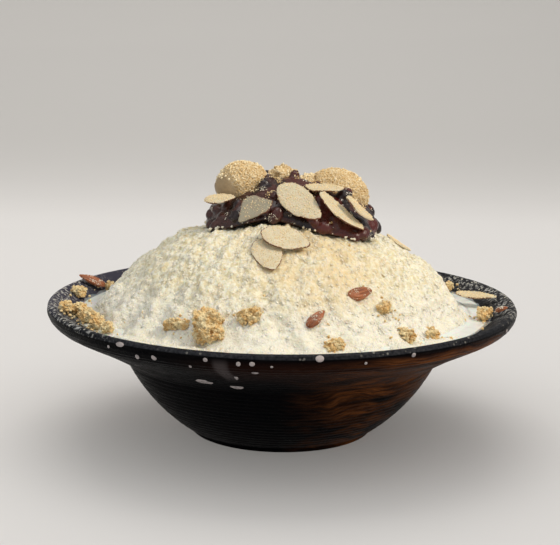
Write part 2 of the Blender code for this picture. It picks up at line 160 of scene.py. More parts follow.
def part_of(tree, vector, axis):
    """One of the three numbers of a place or a direction."""
    return add_node(tree, "ShaderNodeSeparateXYZ", {"Vector": vector}).outputs[axis]


def remap(tree, value, low, high, to_low=0.0, to_high=1.0, curve="SMOOTHSTEP"):
    """Move a number from one range to another, clamped."""
    feeds = {"Value": value, "From Min": low, "From Max": high, "To Min": to_low, "To Max": to_high}
    return add_node(tree, "ShaderNodeMapRange", feeds, interpolation_type=curve).outputs["Result"]


def object_place(tree):
    return tree.nodes.new("ShaderNodeTexCoord").outputs["Object"]


def facing_up(tree):
    """How far the surface faces upwards, from -1 to 1."""
    return part_of(tree, tree.nodes.new("ShaderNodeNewGeometry").outputs["Normal"], "Z")


def number_from(tree, name):
    """A number that the mesh carries on its vertices."""
    return add_node(tree, "ShaderNodeAttribute", attribute_name=name).outputs["Fac"]


def clouds(tree, place, scale, detail, roughness=0.5):
    """Smooth noise between 0 and 1."""
    feeds = {"Vector": place, "Scale": scale, "Detail": detail, "Roughness": roughness}
    return add_node(tree, "ShaderNodeTexNoise", feeds).outputs["Fac"]


# %% [markdown]
# ## Floor, backdrop and light
#
# The studio is a pale floor that curves up into a slightly darker wall far behind the bowl. One
# strip of profile is extruded sideways, which is how a paper sweep is hung. The light is soft: one
# warm lamp at the upper right models the heap, a broad one overhead and an even sky reach the shaded
# side, and the floor has two lamps of its own, so that its tone doesn't depend on the food's light.

# %% Floor and backdrop
stage_width = 6.0
floor_front = -6.0
wall_foot = 0.62
wall_curve = 0.45
wall_top = 2.6
curve_steps = 16
floor_tone = (0.70, 0.675, 0.65)
wall_tone = (0.50, 0.48, 0.455)
fade_range = (wall_foot - 0.06, wall_foot + 0.26)


def make_sweep():
    """Floor and wall in one sheet, as a profile along Y that is extruded along X."""
    sheet = bmesh.new()
    profile = [(floor_front, 0.0), (wall_foot, 0.0)]
    for i in range(1, curve_steps + 1):
        angle = math.pi / 2 * i / curve_steps
        profile.append((wall_foot + wall_curve * math.sin(angle), wall_curve * (1 - math.cos(angle))))
    profile.append((wall_foot + wall_curve, wall_top))
    corners = [sheet.verts.new((-stage_width / 2, y, z)) for y, z in profile]
    edges = [sheet.edges.new(pair) for pair in zip(corners, corners[1:])]
    grown = bmesh.ops.extrude_edge_only(sheet, edges=edges)["geom"]
    far = [item for item in grown if isinstance(item, bmesh.types.BMVert)]
    bmesh.ops.translate(sheet, verts=far, vec=(stage_width, 0, 0))
    bmesh.ops.recalc_face_normals(sheet, faces=sheet.faces)
    mesh = bpy.data.meshes.new("floor")
    sheet.to_mesh(mesh)
    sheet.free()
    mesh.shade_smooth()
    return mesh


paper, tree = principled("pale_paper", Roughness=0.9)
fade = remap(tree, part_of(tree, object_place(tree), "Y"), *fade_range, curve="SMOOTHERSTEP")
finish_shader(tree, mix(tree, fade, floor_tone, wall_tone))
floor = bpy.data.objects.new("floor", make_sweep())
floor.data.materials.append(paper)
studio.objects.link(floor)
print("floor from", floor_front, "m to a wall at", wall_foot + wall_curve, "m")

# %% Light
sky = bpy.data.worlds.new("sky")
sky.use_nodes = True
sky.node_tree.nodes["Background"].inputs["Color"].default_value = (0.95, 0.98, 1.0, 1.0)
sky.node_tree.nodes["Background"].inputs["Strength"].default_value = 0.45
bpy.context.scene.world = sky
bpy.context.scene.view_settings.view_transform = "Standard"
warm, soft_warm = (1.0, 0.89, 0.725), (1.0, 0.97, 0.9)
daylight, paper_white = (1.0, 0.985, 0.94), (1.0, 0.985, 0.965)
lamps = (  # name, place in m, size in m, power in W, colour, and what it lights
    ("key", (0.72, -0.42, 0.85), 0.26, 7.9, warm, dessert),
    ("overhead", (-0.1, -0.2, 1.4), 0.9, 5.0, daylight, dessert),
    ("fill", (-0.7, -0.8, 0.45), 0.8, 1.0, soft_warm, dessert),
    ("floor_wash", (-0.15, -0.1, 1.2), 3.6, 26.5, paper_white, studio),
    ("floor_shade", (-0.05, 0.58, 1.15), 1.0, 4.6, paper_white, studio),
)


def area_light(name, position, size, power, colour, lit):
    """A square lamp that looks at the bowl and lights one collection."""
    data = bpy.data.lights.new(name, "AREA")
    data.size = size
    data.energy = power
    data.color = colour
    lamp = bpy.data.objects.new(name, data)
    aim = rim_middle - Vector(position)
    lamp.matrix_world = Matrix.Translation(position) @ aim.to_track_quat("-Z", "Y").to_matrix().to_4x4()
    bpy.context.scene.collection.objects.link(lamp)
    lamp.light_linking.receiver_collection = lit


for lamp_values in lamps:
    area_light(*lamp_values)
bpy.data.lights["floor_wash"].use_shadow = False  # an even wash, with no second shadow of the bowl
print("lamps:", [values[0] for values in lamps])

# %% [markdown]
# ## Helpers for every piece
#
# Each piece below ends the same way: its mesh becomes an object at the origin, gets a material,
# rides on the one body of the model, and hides the plain solids it stands for. The construction
# meshes stay untouched, so whatever starts from one starts from a merged copy.

# %% Helpers that finish a piece or read a plain solid
def finish_piece(name, mesh, material, slot, *nodes):
    """Put a finished mesh in the scene as a piece that stands for the plain solids named."""
    mesh.name = name
    mesh.materials.clear()
    mesh.materials.append(material)
    mesh.shade_smooth()
    piece = bpy.data.objects.new(name, mesh)
    dessert.objects.link(piece)
    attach(piece, "root")
    if nodes:
        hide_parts(*nodes)
    mesh.calc_loop_triangles()
    print(f"{name}: {len(mesh.loop_triangles)} triangles")


def fixed_order(shape):
    """List the faces of a bmesh in the order of their vertices. Blender's sphere and spin tools list
    them differently on every run, and powder is strewn by picking faces from that list."""
    shape.verts.index_update()
    many = len(shape.verts)

    def place(face):
        first, second, third = sorted(corner.index for corner in face.verts)[:3]
        return (first * many + second) * many + third

    shape.faces.sort(key=place)


def mesh_from(shape, name):
    """Turn a bmesh into a mesh and free it."""
    mesh = bpy.data.meshes.new(name)
    shape.to_mesh(mesh)
    shape.free()
    return mesh


def copy_of(*nodes):
    """A merged copy of the plain solids, as a bmesh. The solids themselves stay as they are."""
    shape = bmesh.new()
    for node in nodes:
        shape.from_mesh(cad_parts[node].data)
    bmesh.ops.remove_doubles(shape, verts=shape.verts, dist=0.001 * MM)
    return shape


def tree_of(*nodes):
    """A search tree over plain solids, for rays and for nearest points."""
    shape = copy_of(*nodes)
    tree = BVHTree.FromBMesh(shape)
    shape.free()
    return tree


def nodes_named(start):
    """The plain solids whose names start with a word."""
    return [name for name in sorted(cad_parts) if name.startswith(start)]


def middle_of(node):
    low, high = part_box(node)
    return (low + high) / 2


def diagonal_of(node):
    low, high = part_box(node)
    return high - low


def read_vertices(mesh, what):
    """Places ("co") or normals ("normal") of a mesh's vertices, as an array of shape (n, 3)."""
    flat = np.empty(len(mesh.vertices) * 3, np.float32)
    mesh.vertices.foreach_get(what, flat)
    return flat.reshape(-1, 3).astype(float)


def points_of(mesh):
    return read_vertices(mesh, "co")


def normals_of(mesh):
    return read_vertices(mesh, "normal")


def move_points(mesh, points):
    """Give a mesh new vertex places."""
    mesh.vertices.foreach_set("co", np.asarray(points, np.float32).ravel())
    mesh.update()


def push_out(mesh, depth):
    """Move each point of a mesh outwards by its own depth."""
    move_points(mesh, points_of(mesh) + normals_of(mesh) * depth[:, None])


def paint(mesh, name, values):
    """Store one number per vertex, for a material to read."""
    layer = mesh.attributes.new(name, "FLOAT", "POINT")
    layer.data.foreach_set("value", np.asarray(values, np.float32))


def ripple(points, size, seed=0.0):
    """Smooth noise from -1 to 1 at each point, with bumps about as wide as size."""
    scaled = points / size + seed
    return np.array([noise.noise(p) for p in scaled.tolist()])


def pebble(points, size, seed=0.0):
    """Rounded cells: 1 in the middle of a cell and 0 between cells."""
    scaled = points / size + seed
    near = np.array([noise.voronoi(p)[0][0] for p in scaled.tolist()])
    return 1.0 - np.clip(near / 0.75, 0.0, 1.0) ** 2


def smooth_step(low, high, value):
    """0 below low, 1 above high, and a soft rise between them."""
    share = np.clip((value - low) / (high - low), 0.0, 1.0)
    return share * share * (3.0 - 2.0 * share)


# %% [markdown]
# ## Shared effects
#
# Effects that several finishes share are node groups with named sockets: streaks left by the
# potter's wheel, pale specks, powder that settles on top, and the mottling of anything baked. Each is
# built once, and every material that places it gives it its own sizes.

# %% Helpers for node groups
def new_group(name, inputs, outputs):
    """An empty node group of numbers. inputs maps names to start values, and outputs lists names."""
    group = bpy.data.node_groups.new(name, "ShaderNodeTree")
    for label, value in inputs.items():
        socket = group.interface.new_socket(label, in_out="INPUT", socket_type="NodeSocketFloat")
        socket.default_value = value
    for label in outputs:
        group.interface.new_socket(label, in_out="OUTPUT", socket_type="NodeSocketFloat")
    return group, group.nodes.new("NodeGroupInput").outputs, group.nodes.new("NodeGroupOutput").inputs


def use_group(tree, group, **feeds):
    """Place a shared effect, and give back its outputs."""
    return add_node(tree, "ShaderNodeGroup", feeds, node_tree=group).outputs


def ring_of(tree, place):
    """A place pressed flat onto the ground, and its direction from the axis."""
    flat = vector_calc(tree, "MULTIPLY", place, (1.0, 1.0, 0.0))
    return flat, vector_calc(tree, "NORMALIZE", flat)



# %% Shared effect: wheel streaks
streaks, given, result = new_group(
    "wheel_streaks", {"Around": 2.5, "Height": 0.0015, "Detail": 4.0, "Warp": 0.0}, ["Streak"])
at = object_place(streaks)
_, ring = ring_of(streaks, at)
wide = add_node(streaks, "ShaderNodeVectorMath", {0: ring, "Scale": given["Around"]}, operation="SCALE")
bend = calc(streaks, "SUBTRACT", clouds(streaks, at, 38.0, 2.0), 0.5)
bent = times(streaks, bend, given["Warp"])
level = calc(streaks, "DIVIDE", calc(streaks, "ADD", part_of(streaks, at, "Z"), bent), given["Height"])
wide_x, wide_y = (part_of(streaks, wide.outputs["Vector"], axis) for axis in "XY")
join = add_node(streaks, "ShaderNodeCombineXYZ", {"X": wide_x, "Y": wide_y, "Z": level})
grain = clouds(streaks, join.outputs["Vector"], 1.0, given["Detail"], 0.6)
feed(streaks, result["Streak"], grain)

# %% Shared effect: pale specks
specks, given, result = new_group("pale_specks", {"Size": 0.0012, "Share": 0.25, "Softness": 0.1}, ["Mask"])
scale = calc(specks, "DIVIDE", 1.0, given["Size"])
cells = add_node(specks, "ShaderNodeTexVoronoi", {"Vector": object_place(specks), "Scale": scale})
dots = calc(specks, "SUBTRACT", given["Share"], cells.outputs["Distance"])
shown = remap(specks, dots, 0.0, given["Softness"], curve="LINEAR")
pick = add_node(specks, "ShaderNodeSeparateColor", {"Color": cells.outputs["Color"]})
chosen = calc(specks, "GREATER_THAN", pick.outputs["Red"], 0.45)
feed(specks, result["Mask"], times(specks, shown, chosen))

# %% Shared effect: settled powder
powder, given, result = new_group(
    "settled_powder", {"Amount": 0.5, "Patch": 0.006, "Grain": 0.0005}, ["Mask", "Height"])
at = object_place(powder)
patches = clouds(powder, at, calc(powder, "DIVIDE", 1.0, given["Patch"]), 3.0)
grains = clouds(powder, at, calc(powder, "DIVIDE", 1.0, given["Grain"]), 2.0)
upward = remap(powder, facing_up(powder), -0.3, 0.8, -0.35, 0.15)
total = calc(powder, "ADD", patches, times(powder, grains, 0.7))
for extra in (upward, given["Amount"]):
    total = calc(powder, "ADD", total, extra)
feed(powder, result["Mask"], remap(powder, total, 1.3, 1.5))
feed(powder, result["Height"], grains)

# %% Shared effect: mottling
mottle, given, result = new_group("mottling", {"Size": 0.004, "Detail": 5.0, "Contrast": 1.0}, ["Tone"])
scale = calc(mottle, "DIVIDE", 1.0, given["Size"])
cloud = clouds(mottle, object_place(mottle), scale, given["Detail"], 0.62)
spread = times(mottle, calc(mottle, "SUBTRACT", cloud, 0.5), given["Contrast"])
feed(mottle, result["Tone"], calc(mottle, "ADD", spread, 0.5))


def mottled(tree, size, detail, contrast):
    """The tone of the mottling, around 0.5."""
    return use_group(tree, mottle, Size=size, Detail=detail, Contrast=contrast)["Tone"]


print("shared effects:", [group.name for group in bpy.data.node_groups])

# %% [markdown]
# ## The stoneware bowl
#
# A bowl like this is thrown on a wheel, so its whole shape is one section turned round an axis. It
# could be a lathe modifier, or a cylinder pulled into shape. Here the section is read from the
# construction model, smoothed, divided finely and spun, and then the rings that fingers leave and the
# rough lip are moved into the mesh itself, because relief at the edge shows in the outline.

# %% The section of the bowl
def section_of(node):
    """The points of a turned solid's section, from the axis inside to the axis below."""
    shape = copy_of(node)
    on_plane = {v for v in shape.verts if abs(v.co.y) < 0.01 * MM and v.co.x > -0.01 * MM}
    beside = {v: [e.other_vert(v) for e in v.link_edges if e.other_vert(v) in on_plane] for v in on_plane}
    at = max((v for v in on_plane if len(beside[v]) == 1), key=lambda v: v.co.z)
    walked = [at]
    while True:
        ahead = [v for v in beside[at] if v not in walked]
        if not ahead:
            break
        at = ahead[0]
        walked.append(at)
    section = [(0.0, walked[0].co.z)] + [(v.co.x, v.co.z) for v in walked] + [(0.0, walked[-1].co.z)]
    shape.free()
    return section


def rounded(section, passes):
    """Cut the corners of an open line, keeping its two ends."""
    for _ in range(passes):
        cut = [section[0]]
        for (ax, az), (bx, bz) in zip(section, section[1:]):
            cut.append((0.75 * ax + 0.25 * bx, 0.75 * az + 0.25 * bz))
            cut.append((0.25 * ax + 0.75 * bx, 0.25 * az + 0.75 * bz))
        section = cut + [section[-1]]
    return section


def divided(section, longest):
    """Add points so that no step of a line is longer than longest(index of the step)."""
    fine = [section[0]]
    for i, ((ax, az), (bx, bz)) in enumerate(zip(section, section[1:])):
        steps = max(1, math.ceil(math.hypot(bx - ax, bz - az) / longest(i)))
        fine += [(ax + (bx - ax) * k / steps, az + (bz - az) * k / steps) for k in range(1, steps + 1)]
    return fine


bowl_section = section_of("bowl")
print("section:", len(bowl_section), "points")

# %% Spin the bowl
bowl_turns = 352
hidden_radius = 82.0 * MM
shown_step, hidden_step = 0.8 * MM, 6.0 * MM


def spun(section, turns, name):
    """A section turned all the way round, closed at its poles."""
    shape = bmesh.new()
    line = [shape.verts.new((x, 0.0, z)) for x, z in section]
    edges = [shape.edges.new(pair) for pair in zip(line, line[1:])]
    bmesh.ops.spin(shape, geom=line + edges, cent=(0, 0, 0), axis=(0, 0, 1), angle=2 * math.pi,
                   steps=turns, use_merge=True, use_duplicate=False)
    bmesh.ops.remove_doubles(shape, verts=shape.verts, dist=0.005 * MM)
    fixed_order(shape)
    bmesh.ops.recalc_face_normals(shape, faces=shape.faces)
    return mesh_from(shape, name)


bowl_line = [bowl_section[0]] + rounded(bowl_section[1:-1], 2) + [bowl_section[-1]]
shown_from = next(i for i, (x, z) in enumerate(bowl_line) if x > hidden_radius)
fine_line = divided(bowl_line, lambda i: shown_step if i >= shown_from - 1 else hidden_step)
bowl_mesh = spun(fine_line, bowl_turns, "stoneware_bowl")
print("bowl:", len(bowl_mesh.vertices), "vertices")

# %% Relief of the bowl
ring_spacing = 2.3 * MM
ring_depth = 0.22 * MM
grit_depth = 0.09 * MM
hand_wobble = 0.25 * MM


def relief_of_bowl(mesh):
    """Depth of wheel rings, grit and a little wobble, pressed inwards so that the bowl doesn't grow."""
    points = points_of(mesh)
    radius = np.hypot(points[:, 0], points[:, 1])
    height = points[:, 2]
    around = points.copy()
    around[:, :2] *= 20.0 * MM / np.maximum(radius, MM)[:, None]
    around[:, 2] = (radius - height) * 0.6
    swirl = 2 * math.pi * (height + 0.35 * radius) / ring_spacing + 3.0 * ripple(around, 14 * MM, 5.0)
    grit = ripple(points, 1.6 * MM, 9.0) + 0.6 * ripple(points, 0.8 * MM, 2.0)
    wobble = ripple(around, 30 * MM, 1.0)
    depth = ring_depth * (0.5 + 0.5 * np.sin(swirl)) + grit_depth * (0.5 + 0.5 * grit)
    depth += hand_wobble * (0.5 + 0.5 * wobble)
    return depth * smooth_step(0.3 * MM, 2.5 * MM, height)


push_out(bowl_mesh, -relief_of_bowl(bowl_mesh))
print("rings", round(ring_depth / MM, 2), "mm deep,", round(ring_spacing / MM, 1), "mm apart")

# %% [markdown]
# ## The black glaze
#
# The glaze is nearly black. On one side iron comes through as brown streaks that follow the rings;
# that side is the lit right front, so the brown there is partly painted light. The rim is dry and gritty,
# with pale specks of grit and powder, which on the left are partly painted glints, and a bluish tint at
# the back left of the rim is a painted reflection of the sky. One flat black would look like plastic, so
# colour, roughness and relief all come from the same wheel streaks.

# %% Black glaze material
# The first side is the lit right front, where the brown of the iron is partly painted light.
iron_lit_side, far_iron_side, blush_side, smear_side = -22.0, 140.0, -62.0, -103.0  # degrees round the bowl
# The first of these sides gets a painted reflection of the sky, the second painted glints, the third powder
# specks.
sky_reflection_side, glinting_left, salty_right = 165.0, 190.0, 10.0
glaze, tree = principled("black_glaze", Roughness=0.4, Specular_IOR_Level=0.02)
at = object_place(tree)
height = part_of(tree, at, "Z")
flat, ring = ring_of(tree, at)
radius = vector_calc(tree, "LENGTH", flat, output="Value")
broad = use_group(tree, streaks, Around=1.8, Height=0.0046, Detail=3.0, Warp=0.02)["Streak"]
fine = use_group(tree, streaks, Around=6.0, Height=0.0010, Detail=5.0, Warp=0.012)["Streak"]


def towards(degrees, low, high):
    """A mask that is 1 on the side of the bowl that faces one way."""
    way = (math.cos(math.radians(degrees)), math.sin(math.radians(degrees)), 0.0)
    return remap(tree, vector_calc(tree, "DOT_PRODUCT", ring, way, output="Value"), low, high)


below_lip = remap(tree, height, rim_height - 6.0 * MM, rim_height - 2.0 * MM, 1.0, 0.0)
far_iron = times(tree, towards(far_iron_side, 0.5, 1.0), 0.7)
# Iron streaks, thickest on the lit side: partly the glaze's own brown and partly painted light.
iron_and_painted_light = calc(tree, "MAXIMUM", towards(iron_lit_side, 0.34, 0.98), far_iron)
iron_and_painted_light = times(tree, times(tree, iron_and_painted_light, below_lip), remap(tree, broad, 0.36, 0.66))
shoulder = remap(tree, height, rim_height - 20 * MM, rim_height - 8 * MM)
blush = times(tree, times(tree, shoulder, below_lip), towards(blush_side, 0.55, 0.95))
lines = remap(tree, fine, 0.36, 0.70)
brown = mix(tree, lines, (0.034, 0.010, 0.0035), (0.20, 0.066, 0.017))
body = mix(tree, lines, (0.0004, 0.0007, 0.0012), (0.0030, 0.0026, 0.0030))
body = mix(tree, times(tree, blush, 0.6), body, (0.024, 0.007, 0.003))
body = mix(tree, iron_and_painted_light, body, brown)
smear = times(tree, towards(smear_side, 0.9993, 1.0), remap(tree, height, 41 * MM, 48 * MM))
body = mix(tree, times(tree, times(tree, smear, below_lip), 0.5), body, (0.10, 0.085, 0.085))

# %% The dry, gritty rim, and the finished glaze
dry = times(tree, remap(tree, radius, 80 * MM, 92 * MM), remap(tree, facing_up(tree), 0.1, 0.6))
pepper = mottled(tree, 0.0011, 4.0, 2.6)
rim_tone = mix(tree, pepper, (0.008, 0.009, 0.012), (0.040, 0.041, 0.047))
# A bluish tint at the back left of the rim: a painted reflection of the sky.
rim_tone = mix(tree, towards(sky_reflection_side, 0.70, 0.95), rim_tone, (0.048, 0.046, 0.066))
body = mix(tree, dry, body, rim_tone)
# Pale specks on the sides of the rim: powder on the right, painted glints on the left.
sides = calc(tree, "MAXIMUM", towards(glinting_left, 0.72, 0.93), towards(salty_right, 0.82, 0.95))
sides = times(tree, sides, remap(tree, radius, 93 * MM, 100 * MM))
coarse = mottled(tree, 0.0017, 3.0, 3.0)
glints_and_powder = times(tree, remap(tree, coarse, 0.5, 0.95), times(tree, sides, dry))
body = mix(tree, glints_and_powder, body, (0.46, 0.46, 0.45))
# Fine pale specks over the dry rim: grit and powder, and on the left painted glints as well.
salt = use_group(tree, specks, Size=0.0018, Share=0.33, Softness=0.12)["Mask"]
salt_share = remap(tree, clouds(tree, at, 55.0, 2.0), 0.50, 0.62, 0.0, 0.35)
salt = times(tree, times(tree, salt, calc(tree, "MAXIMUM", salt_share, sides)), dry)
body = mix(tree, salt, body, (0.55, 0.53, 0.47))
shine = calc(tree, "ADD", remap(tree, fine, 0.3, 0.7, 0.26, 0.50), times(tree, dry, 0.22))
grit = calc(tree, "ADD", times(tree, fine, 0.6), times(tree, pepper, 0.4))
finish_shader(tree, body, shine, grit, 0.25 * MM)
finish_piece("stoneware_bowl", bowl_mesh, glaze, "black_glaze", "bowl")

# %% [markdown]
# ## The heap of ice
#
# Milk ice is shaved into thin flakes that pack into a soft, ragged snow. Particles alone would look
# like loose sugar, and a bump map alone would leave a smooth outline. So the heap is a fine net whose
# points are really moved: broad lumps, clumps of flakes, and ridges that run down the slope. Loose
# flakes, too small for the net, lie on top of it.

# %% The plain slope of the ice
field_step = 1.0 * MM
field_reach = 90
shore_radius = 85.5 * MM
shore_fall = 0.9
blur_width = 2.2
blur_reach = 6
fill_rounds = 500
covered_drop = 4 * MM
on_ice = [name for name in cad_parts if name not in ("bowl", "shaved_ice", "melted_milk")]
ice_tree = tree_of("shaved_ice")
cover_tree = tree_of(*on_ice)
down = Vector((0.0, 0.0, -1.0))


def measure_field():
    """Heights of the ice on a square grid. Under the toppings they are filled in from around them."""
    ticks = np.arange(-field_reach, field_reach + 1) * field_step
    heights = np.full((len(ticks), len(ticks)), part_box("shaved_ice")[1].z - covered_drop)
    known = np.zeros(heights.shape, bool)
    for i, x in enumerate(ticks):
        for j, y in enumerate(ticks):
            away = math.hypot(x, y)
            keep = min(1.0, shore_radius / max(away, MM))
            start = Vector((x * keep, y * keep, 0.2))
            ground = ice_tree.ray_cast(start, down)[0]
            above = cover_tree.ray_cast(start, down)[0]
            if ground and not (above and above.z > ground.z):
                known[i, j] = True
                heights[i, j] = ground.z - max(0.0, away - shore_radius) * shore_fall
    for _ in range(fill_rounds):
        around = sum(np.roll(heights, shift, axis) for shift in (1, -1) for axis in (0, 1)) / 4
        heights = np.where(known, heights, around)
    taps = np.exp(-0.5 * (np.arange(-blur_reach, blur_reach + 1) / blur_width) ** 2)
    taps /= taps.sum()
    for axis in (0, 1):
        heights = sum(weight * np.roll(heights, k - blur_reach, axis) for k, weight in enumerate(taps))
    return heights


def field_at(x, y):
    """Height of the plain ice at places, between the points of the grid."""
    last = 2 * field_reach - 1e-6
    u = np.clip(x / field_step + field_reach, 0, last)
    v = np.clip(y / field_step + field_reach, 0, last)
    i, j = u.astype(int), v.astype(int)
    p, q = u - i, v - j
    low = field[i, j] * (1 - p) + field[i + 1, j] * p
    high = field[i, j + 1] * (1 - p) + field[i + 1, j + 1] * p
    return low * (1 - q) + high * q


field = measure_field()
print("ice from", round(field_at(np.array([0.0]), np.array([-85 * MM]))[0] / MM, 1), "mm")

# %% Where the ice meets milk and rim
milk_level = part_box("melted_milk")[1].z
well_radius = 69.5 * MM
rim_foot = max(point for point in bowl_section if point[0] < well_radius and point[1] > 41 * MM)
rim_top = (101.2 * MM, rim_height - 0.4 * MM)
rim_slope = (rim_top[1] - rim_foot[1]) / (rim_top[0] - rim_foot[0])


def rim_at(radius):
    """Height of the sloping rim of the bowl at a distance from the axis."""
    return rim_foot[1] + (radius - rim_foot[0]) * rim_slope


print("rim slope:", round(rim_slope, 3))

# %% Relief of the ice
coarse_radius = 24.0 * MM
ice_edge = 86.2 * MM
row_step = 0.46 * MM
slope_step = 0.8 * MM
slush_start = 79 * MM
slush_reach = 0.74
sway_width = 0.15 * MM
furrow_height, lump_height, clump_height, ridge_height, crumb_height = 4.2, 1.1, 0.65, 0.46, 0.2  # mm
wet_patch = (-25.0 * MM, -77.0 * MM, 6.0 * MM)  # middle and radius of a melted spot in front
spread_angles = np.linspace(0, 2 * math.pi, 24, endpoint=False)
radii = np.arange(0, 864) * 0.1 * MM
mean_height = np.mean([field_at(radii * math.cos(a), radii * math.sin(a)) for a in spread_angles], axis=0)
travel = np.concatenate([[0.0], np.cumsum(np.hypot(np.diff(radii), np.diff(mean_height)))])
topping_spots = []
for name in nodes_named("nut") + nodes_named("crumble") + nodes_named("almond"):
    middle = middle_of(name)
    if 26 * MM < middle.xy.length < 84 * MM:
        topping_spots.append((middle.x, middle.y, diagonal_of(name).xy.length / 2))


def slope_normal(x, y):
    """Direction that the plain ice faces at places."""
    slope_x = (field_at(x + slope_step, y) - field_at(x - slope_step, y)) / (2 * slope_step)
    slope_y = (field_at(x, y + slope_step) - field_at(x, y - slope_step)) / (2 * slope_step)
    normal = np.stack([-slope_x, -slope_y, np.ones_like(x)], axis=1)
    return normal / np.linalg.norm(normal, axis=1)[:, None]


def frozen_surface(radius, angle):
    """Points of the ragged ice surface, and the plain normals there, at distances and angles round
    the axis. In front, slush spreads over the milk up to the rim."""
    slush = smooth_step(0.30, 0.70, -np.sin(angle))
    edge = smooth_step(ice_edge, ice_edge - 1.5 * MM, radius)
    along = np.interp(radius, radii, travel)
    radius = radius + np.maximum(radius - slush_start, 0.0) * slush_reach * slush
    x, y = radius * np.cos(angle), radius * np.sin(angle)
    h = field_at(x, y)
    wet_level = milk_level + (1.1 * slush - 3.0 * (1 - slush)) * MM
    h = np.where(radius > 76 * MM, np.logaddexp(h / MM, wet_level / MM) * MM - 0.3 * MM * slush, h)
    h = h * edge + (rim_at(radius) + 0.1 * MM) * (1 - edge)
    plain = np.stack([x, y, h], axis=1)
    unrolled = np.stack([np.cos(angle) * 55 * MM, np.sin(angle) * 55 * MM, along], axis=1)
    stretched = unrolled * np.array([1.0, 1.0, 0.4])
    furrows = ripple(stretched, 8 * MM, 3.0)
    for cx, cy, reach in topping_spots:
        furrows = furrows * (0.2 + 0.8 * smooth_step(reach, reach + 5 * MM, np.hypot(x - cx, y - cy)))
    lumps = ripple(plain, 5 * MM, 8.0)
    clumps = pebble(unrolled, 2.9 * MM, 1.0)
    ridges = 1.0 - 2.4 * np.abs(ripple(stretched, 1.5 * MM, 6.0))
    crumbs = ripple(plain, 1.2 * MM, 4.0)
    wet = smooth_step(92 * MM, 80 * MM, radius) * 0.5 + 0.5
    patch = np.hypot(x - wet_patch[0], y - wet_patch[1]) / wet_patch[2]
    wet *= smooth_step(0.5, 1.6, patch) * 0.85 + 0.15
    fine = ridge_height * ridges + crumb_height * crumbs
    raised = furrow_height * furrows + lump_height * lumps + clump_height * (clumps - 0.5) + fine * wet
    raised = raised * (0.4 + 0.6 * wet) * edge
    sway = np.stack([ripple(plain, 1.7 * MM, k) for k in (11.0, 12.0, 13.0)], axis=1)
    sway *= (sway_width * wet * edge)[:, None]
    normal = slope_normal(x, y)
    return plain + normal * (raised * MM)[:, None] + sway, normal


# The rows run from the top of the heap to its edge, and are closer together where the ice shows.
shown_travel = np.interp([coarse_radius, ice_edge], radii, travel)
shown_rows = np.interp(np.arange(*shown_travel, row_step), travel, radii)
top_rows = np.concatenate([np.linspace(0, coarse_radius, 8)[:-1], shown_rows, [ice_edge]])
print("ice rows:", len(top_rows), "down a slope of", round(travel[-1] / MM), "mm")

# %% One closed heap
ice_steps = 560
well_lift = 0.6 * MM
well_inset = 0.985
in_well = [(x, z) for x, z in bowl_section[1:9] if z > 5 * MM and x < well_radius]
well_points = [(x * well_inset, z + well_lift) for x, z in in_well][::-2]
well_points.append((0.0, bowl_section[0][1] + well_lift))


def around_axis(radius, angle, height):
    """Points at a distance and an angle round the axis."""
    return np.stack([radius * np.cos(angle), radius * np.sin(angle), height], axis=1)


def net(columns, rows):
    """A flat net of quads, and where each of its points lies across and along, from 0 to 1."""
    shape = bmesh.new()
    bmesh.ops.create_grid(shape, x_segments=columns, y_segments=rows, size=1.0)
    mesh = mesh_from(shape, "net")
    share = (points_of(mesh)[:, :2] + 1.0) / 2.0
    return mesh, share[:, 0], share[:, 1]


def joined(mesh, name, close=False):
    """Merge the meeting edges and poles of a wrapped net, and turn its faces outwards."""
    shape = bmesh.new()
    shape.from_mesh(mesh)
    bpy.data.meshes.remove(mesh)
    bmesh.ops.remove_doubles(shape, verts=shape.verts, dist=0.002 * MM)
    if close:
        bmesh.ops.bridge_loops(shape, edges=[e for e in shape.edges if e.is_boundary])
    bmesh.ops.recalc_face_normals(shape, faces=shape.faces)
    return mesh_from(shape, name)


def make_ice():
    """The whole heap: ragged on top, plain against the bowl."""
    rows = len(top_rows) + len(well_points) - 1
    mesh, across, along = net(ice_steps, rows)
    row = np.rint(along * rows).astype(int)
    angle = math.pi / 2 + np.rint(across * ice_steps) % ice_steps / ice_steps * 2 * math.pi
    points = np.zeros((len(row), 3))
    top = row < len(top_rows)
    points[top], _ = frozen_surface(top_rows[row[top]], angle[top])
    low = np.array(well_points)[row[~top] - len(top_rows)]
    points[~top] = around_axis(low[:, 0], angle[~top], low[:, 1])
    centre = row == 0
    points[centre] = points[centre].mean(axis=0) * np.array([0.0, 0.0, 1.0])
    move_points(mesh, points)
    return joined(mesh, "ice_heap")


ice_mesh = make_ice()

# %% [markdown]
# ## Milk ice and melted milk finishes
#
# Light goes a little way into milk ice, so its shadows are soft and warm. Subsurface scattering does
# that, with one even weight. The colour drifts between cream and a cooler white towards the wet foot,
# and roasted powder has dusted the upper part yellow. Strokes of darker and lighter cream and broad
# yellow-green patches are painted shade and painted light.

# %% Milk ice material
tan_place = (14 * MM, -43 * MM, rim_height + 24 * MM)
cream_shade, cream_light = (0.76, 0.67, 0.44), (0.95, 0.90, 0.74)
shade_patch_cream, foot_white, flake_bright = (0.74, 0.70, 0.46), (0.94, 0.91, 0.81), (0.95, 0.92, 0.82)
powder_tan = (0.80, 0.60, 0.31)


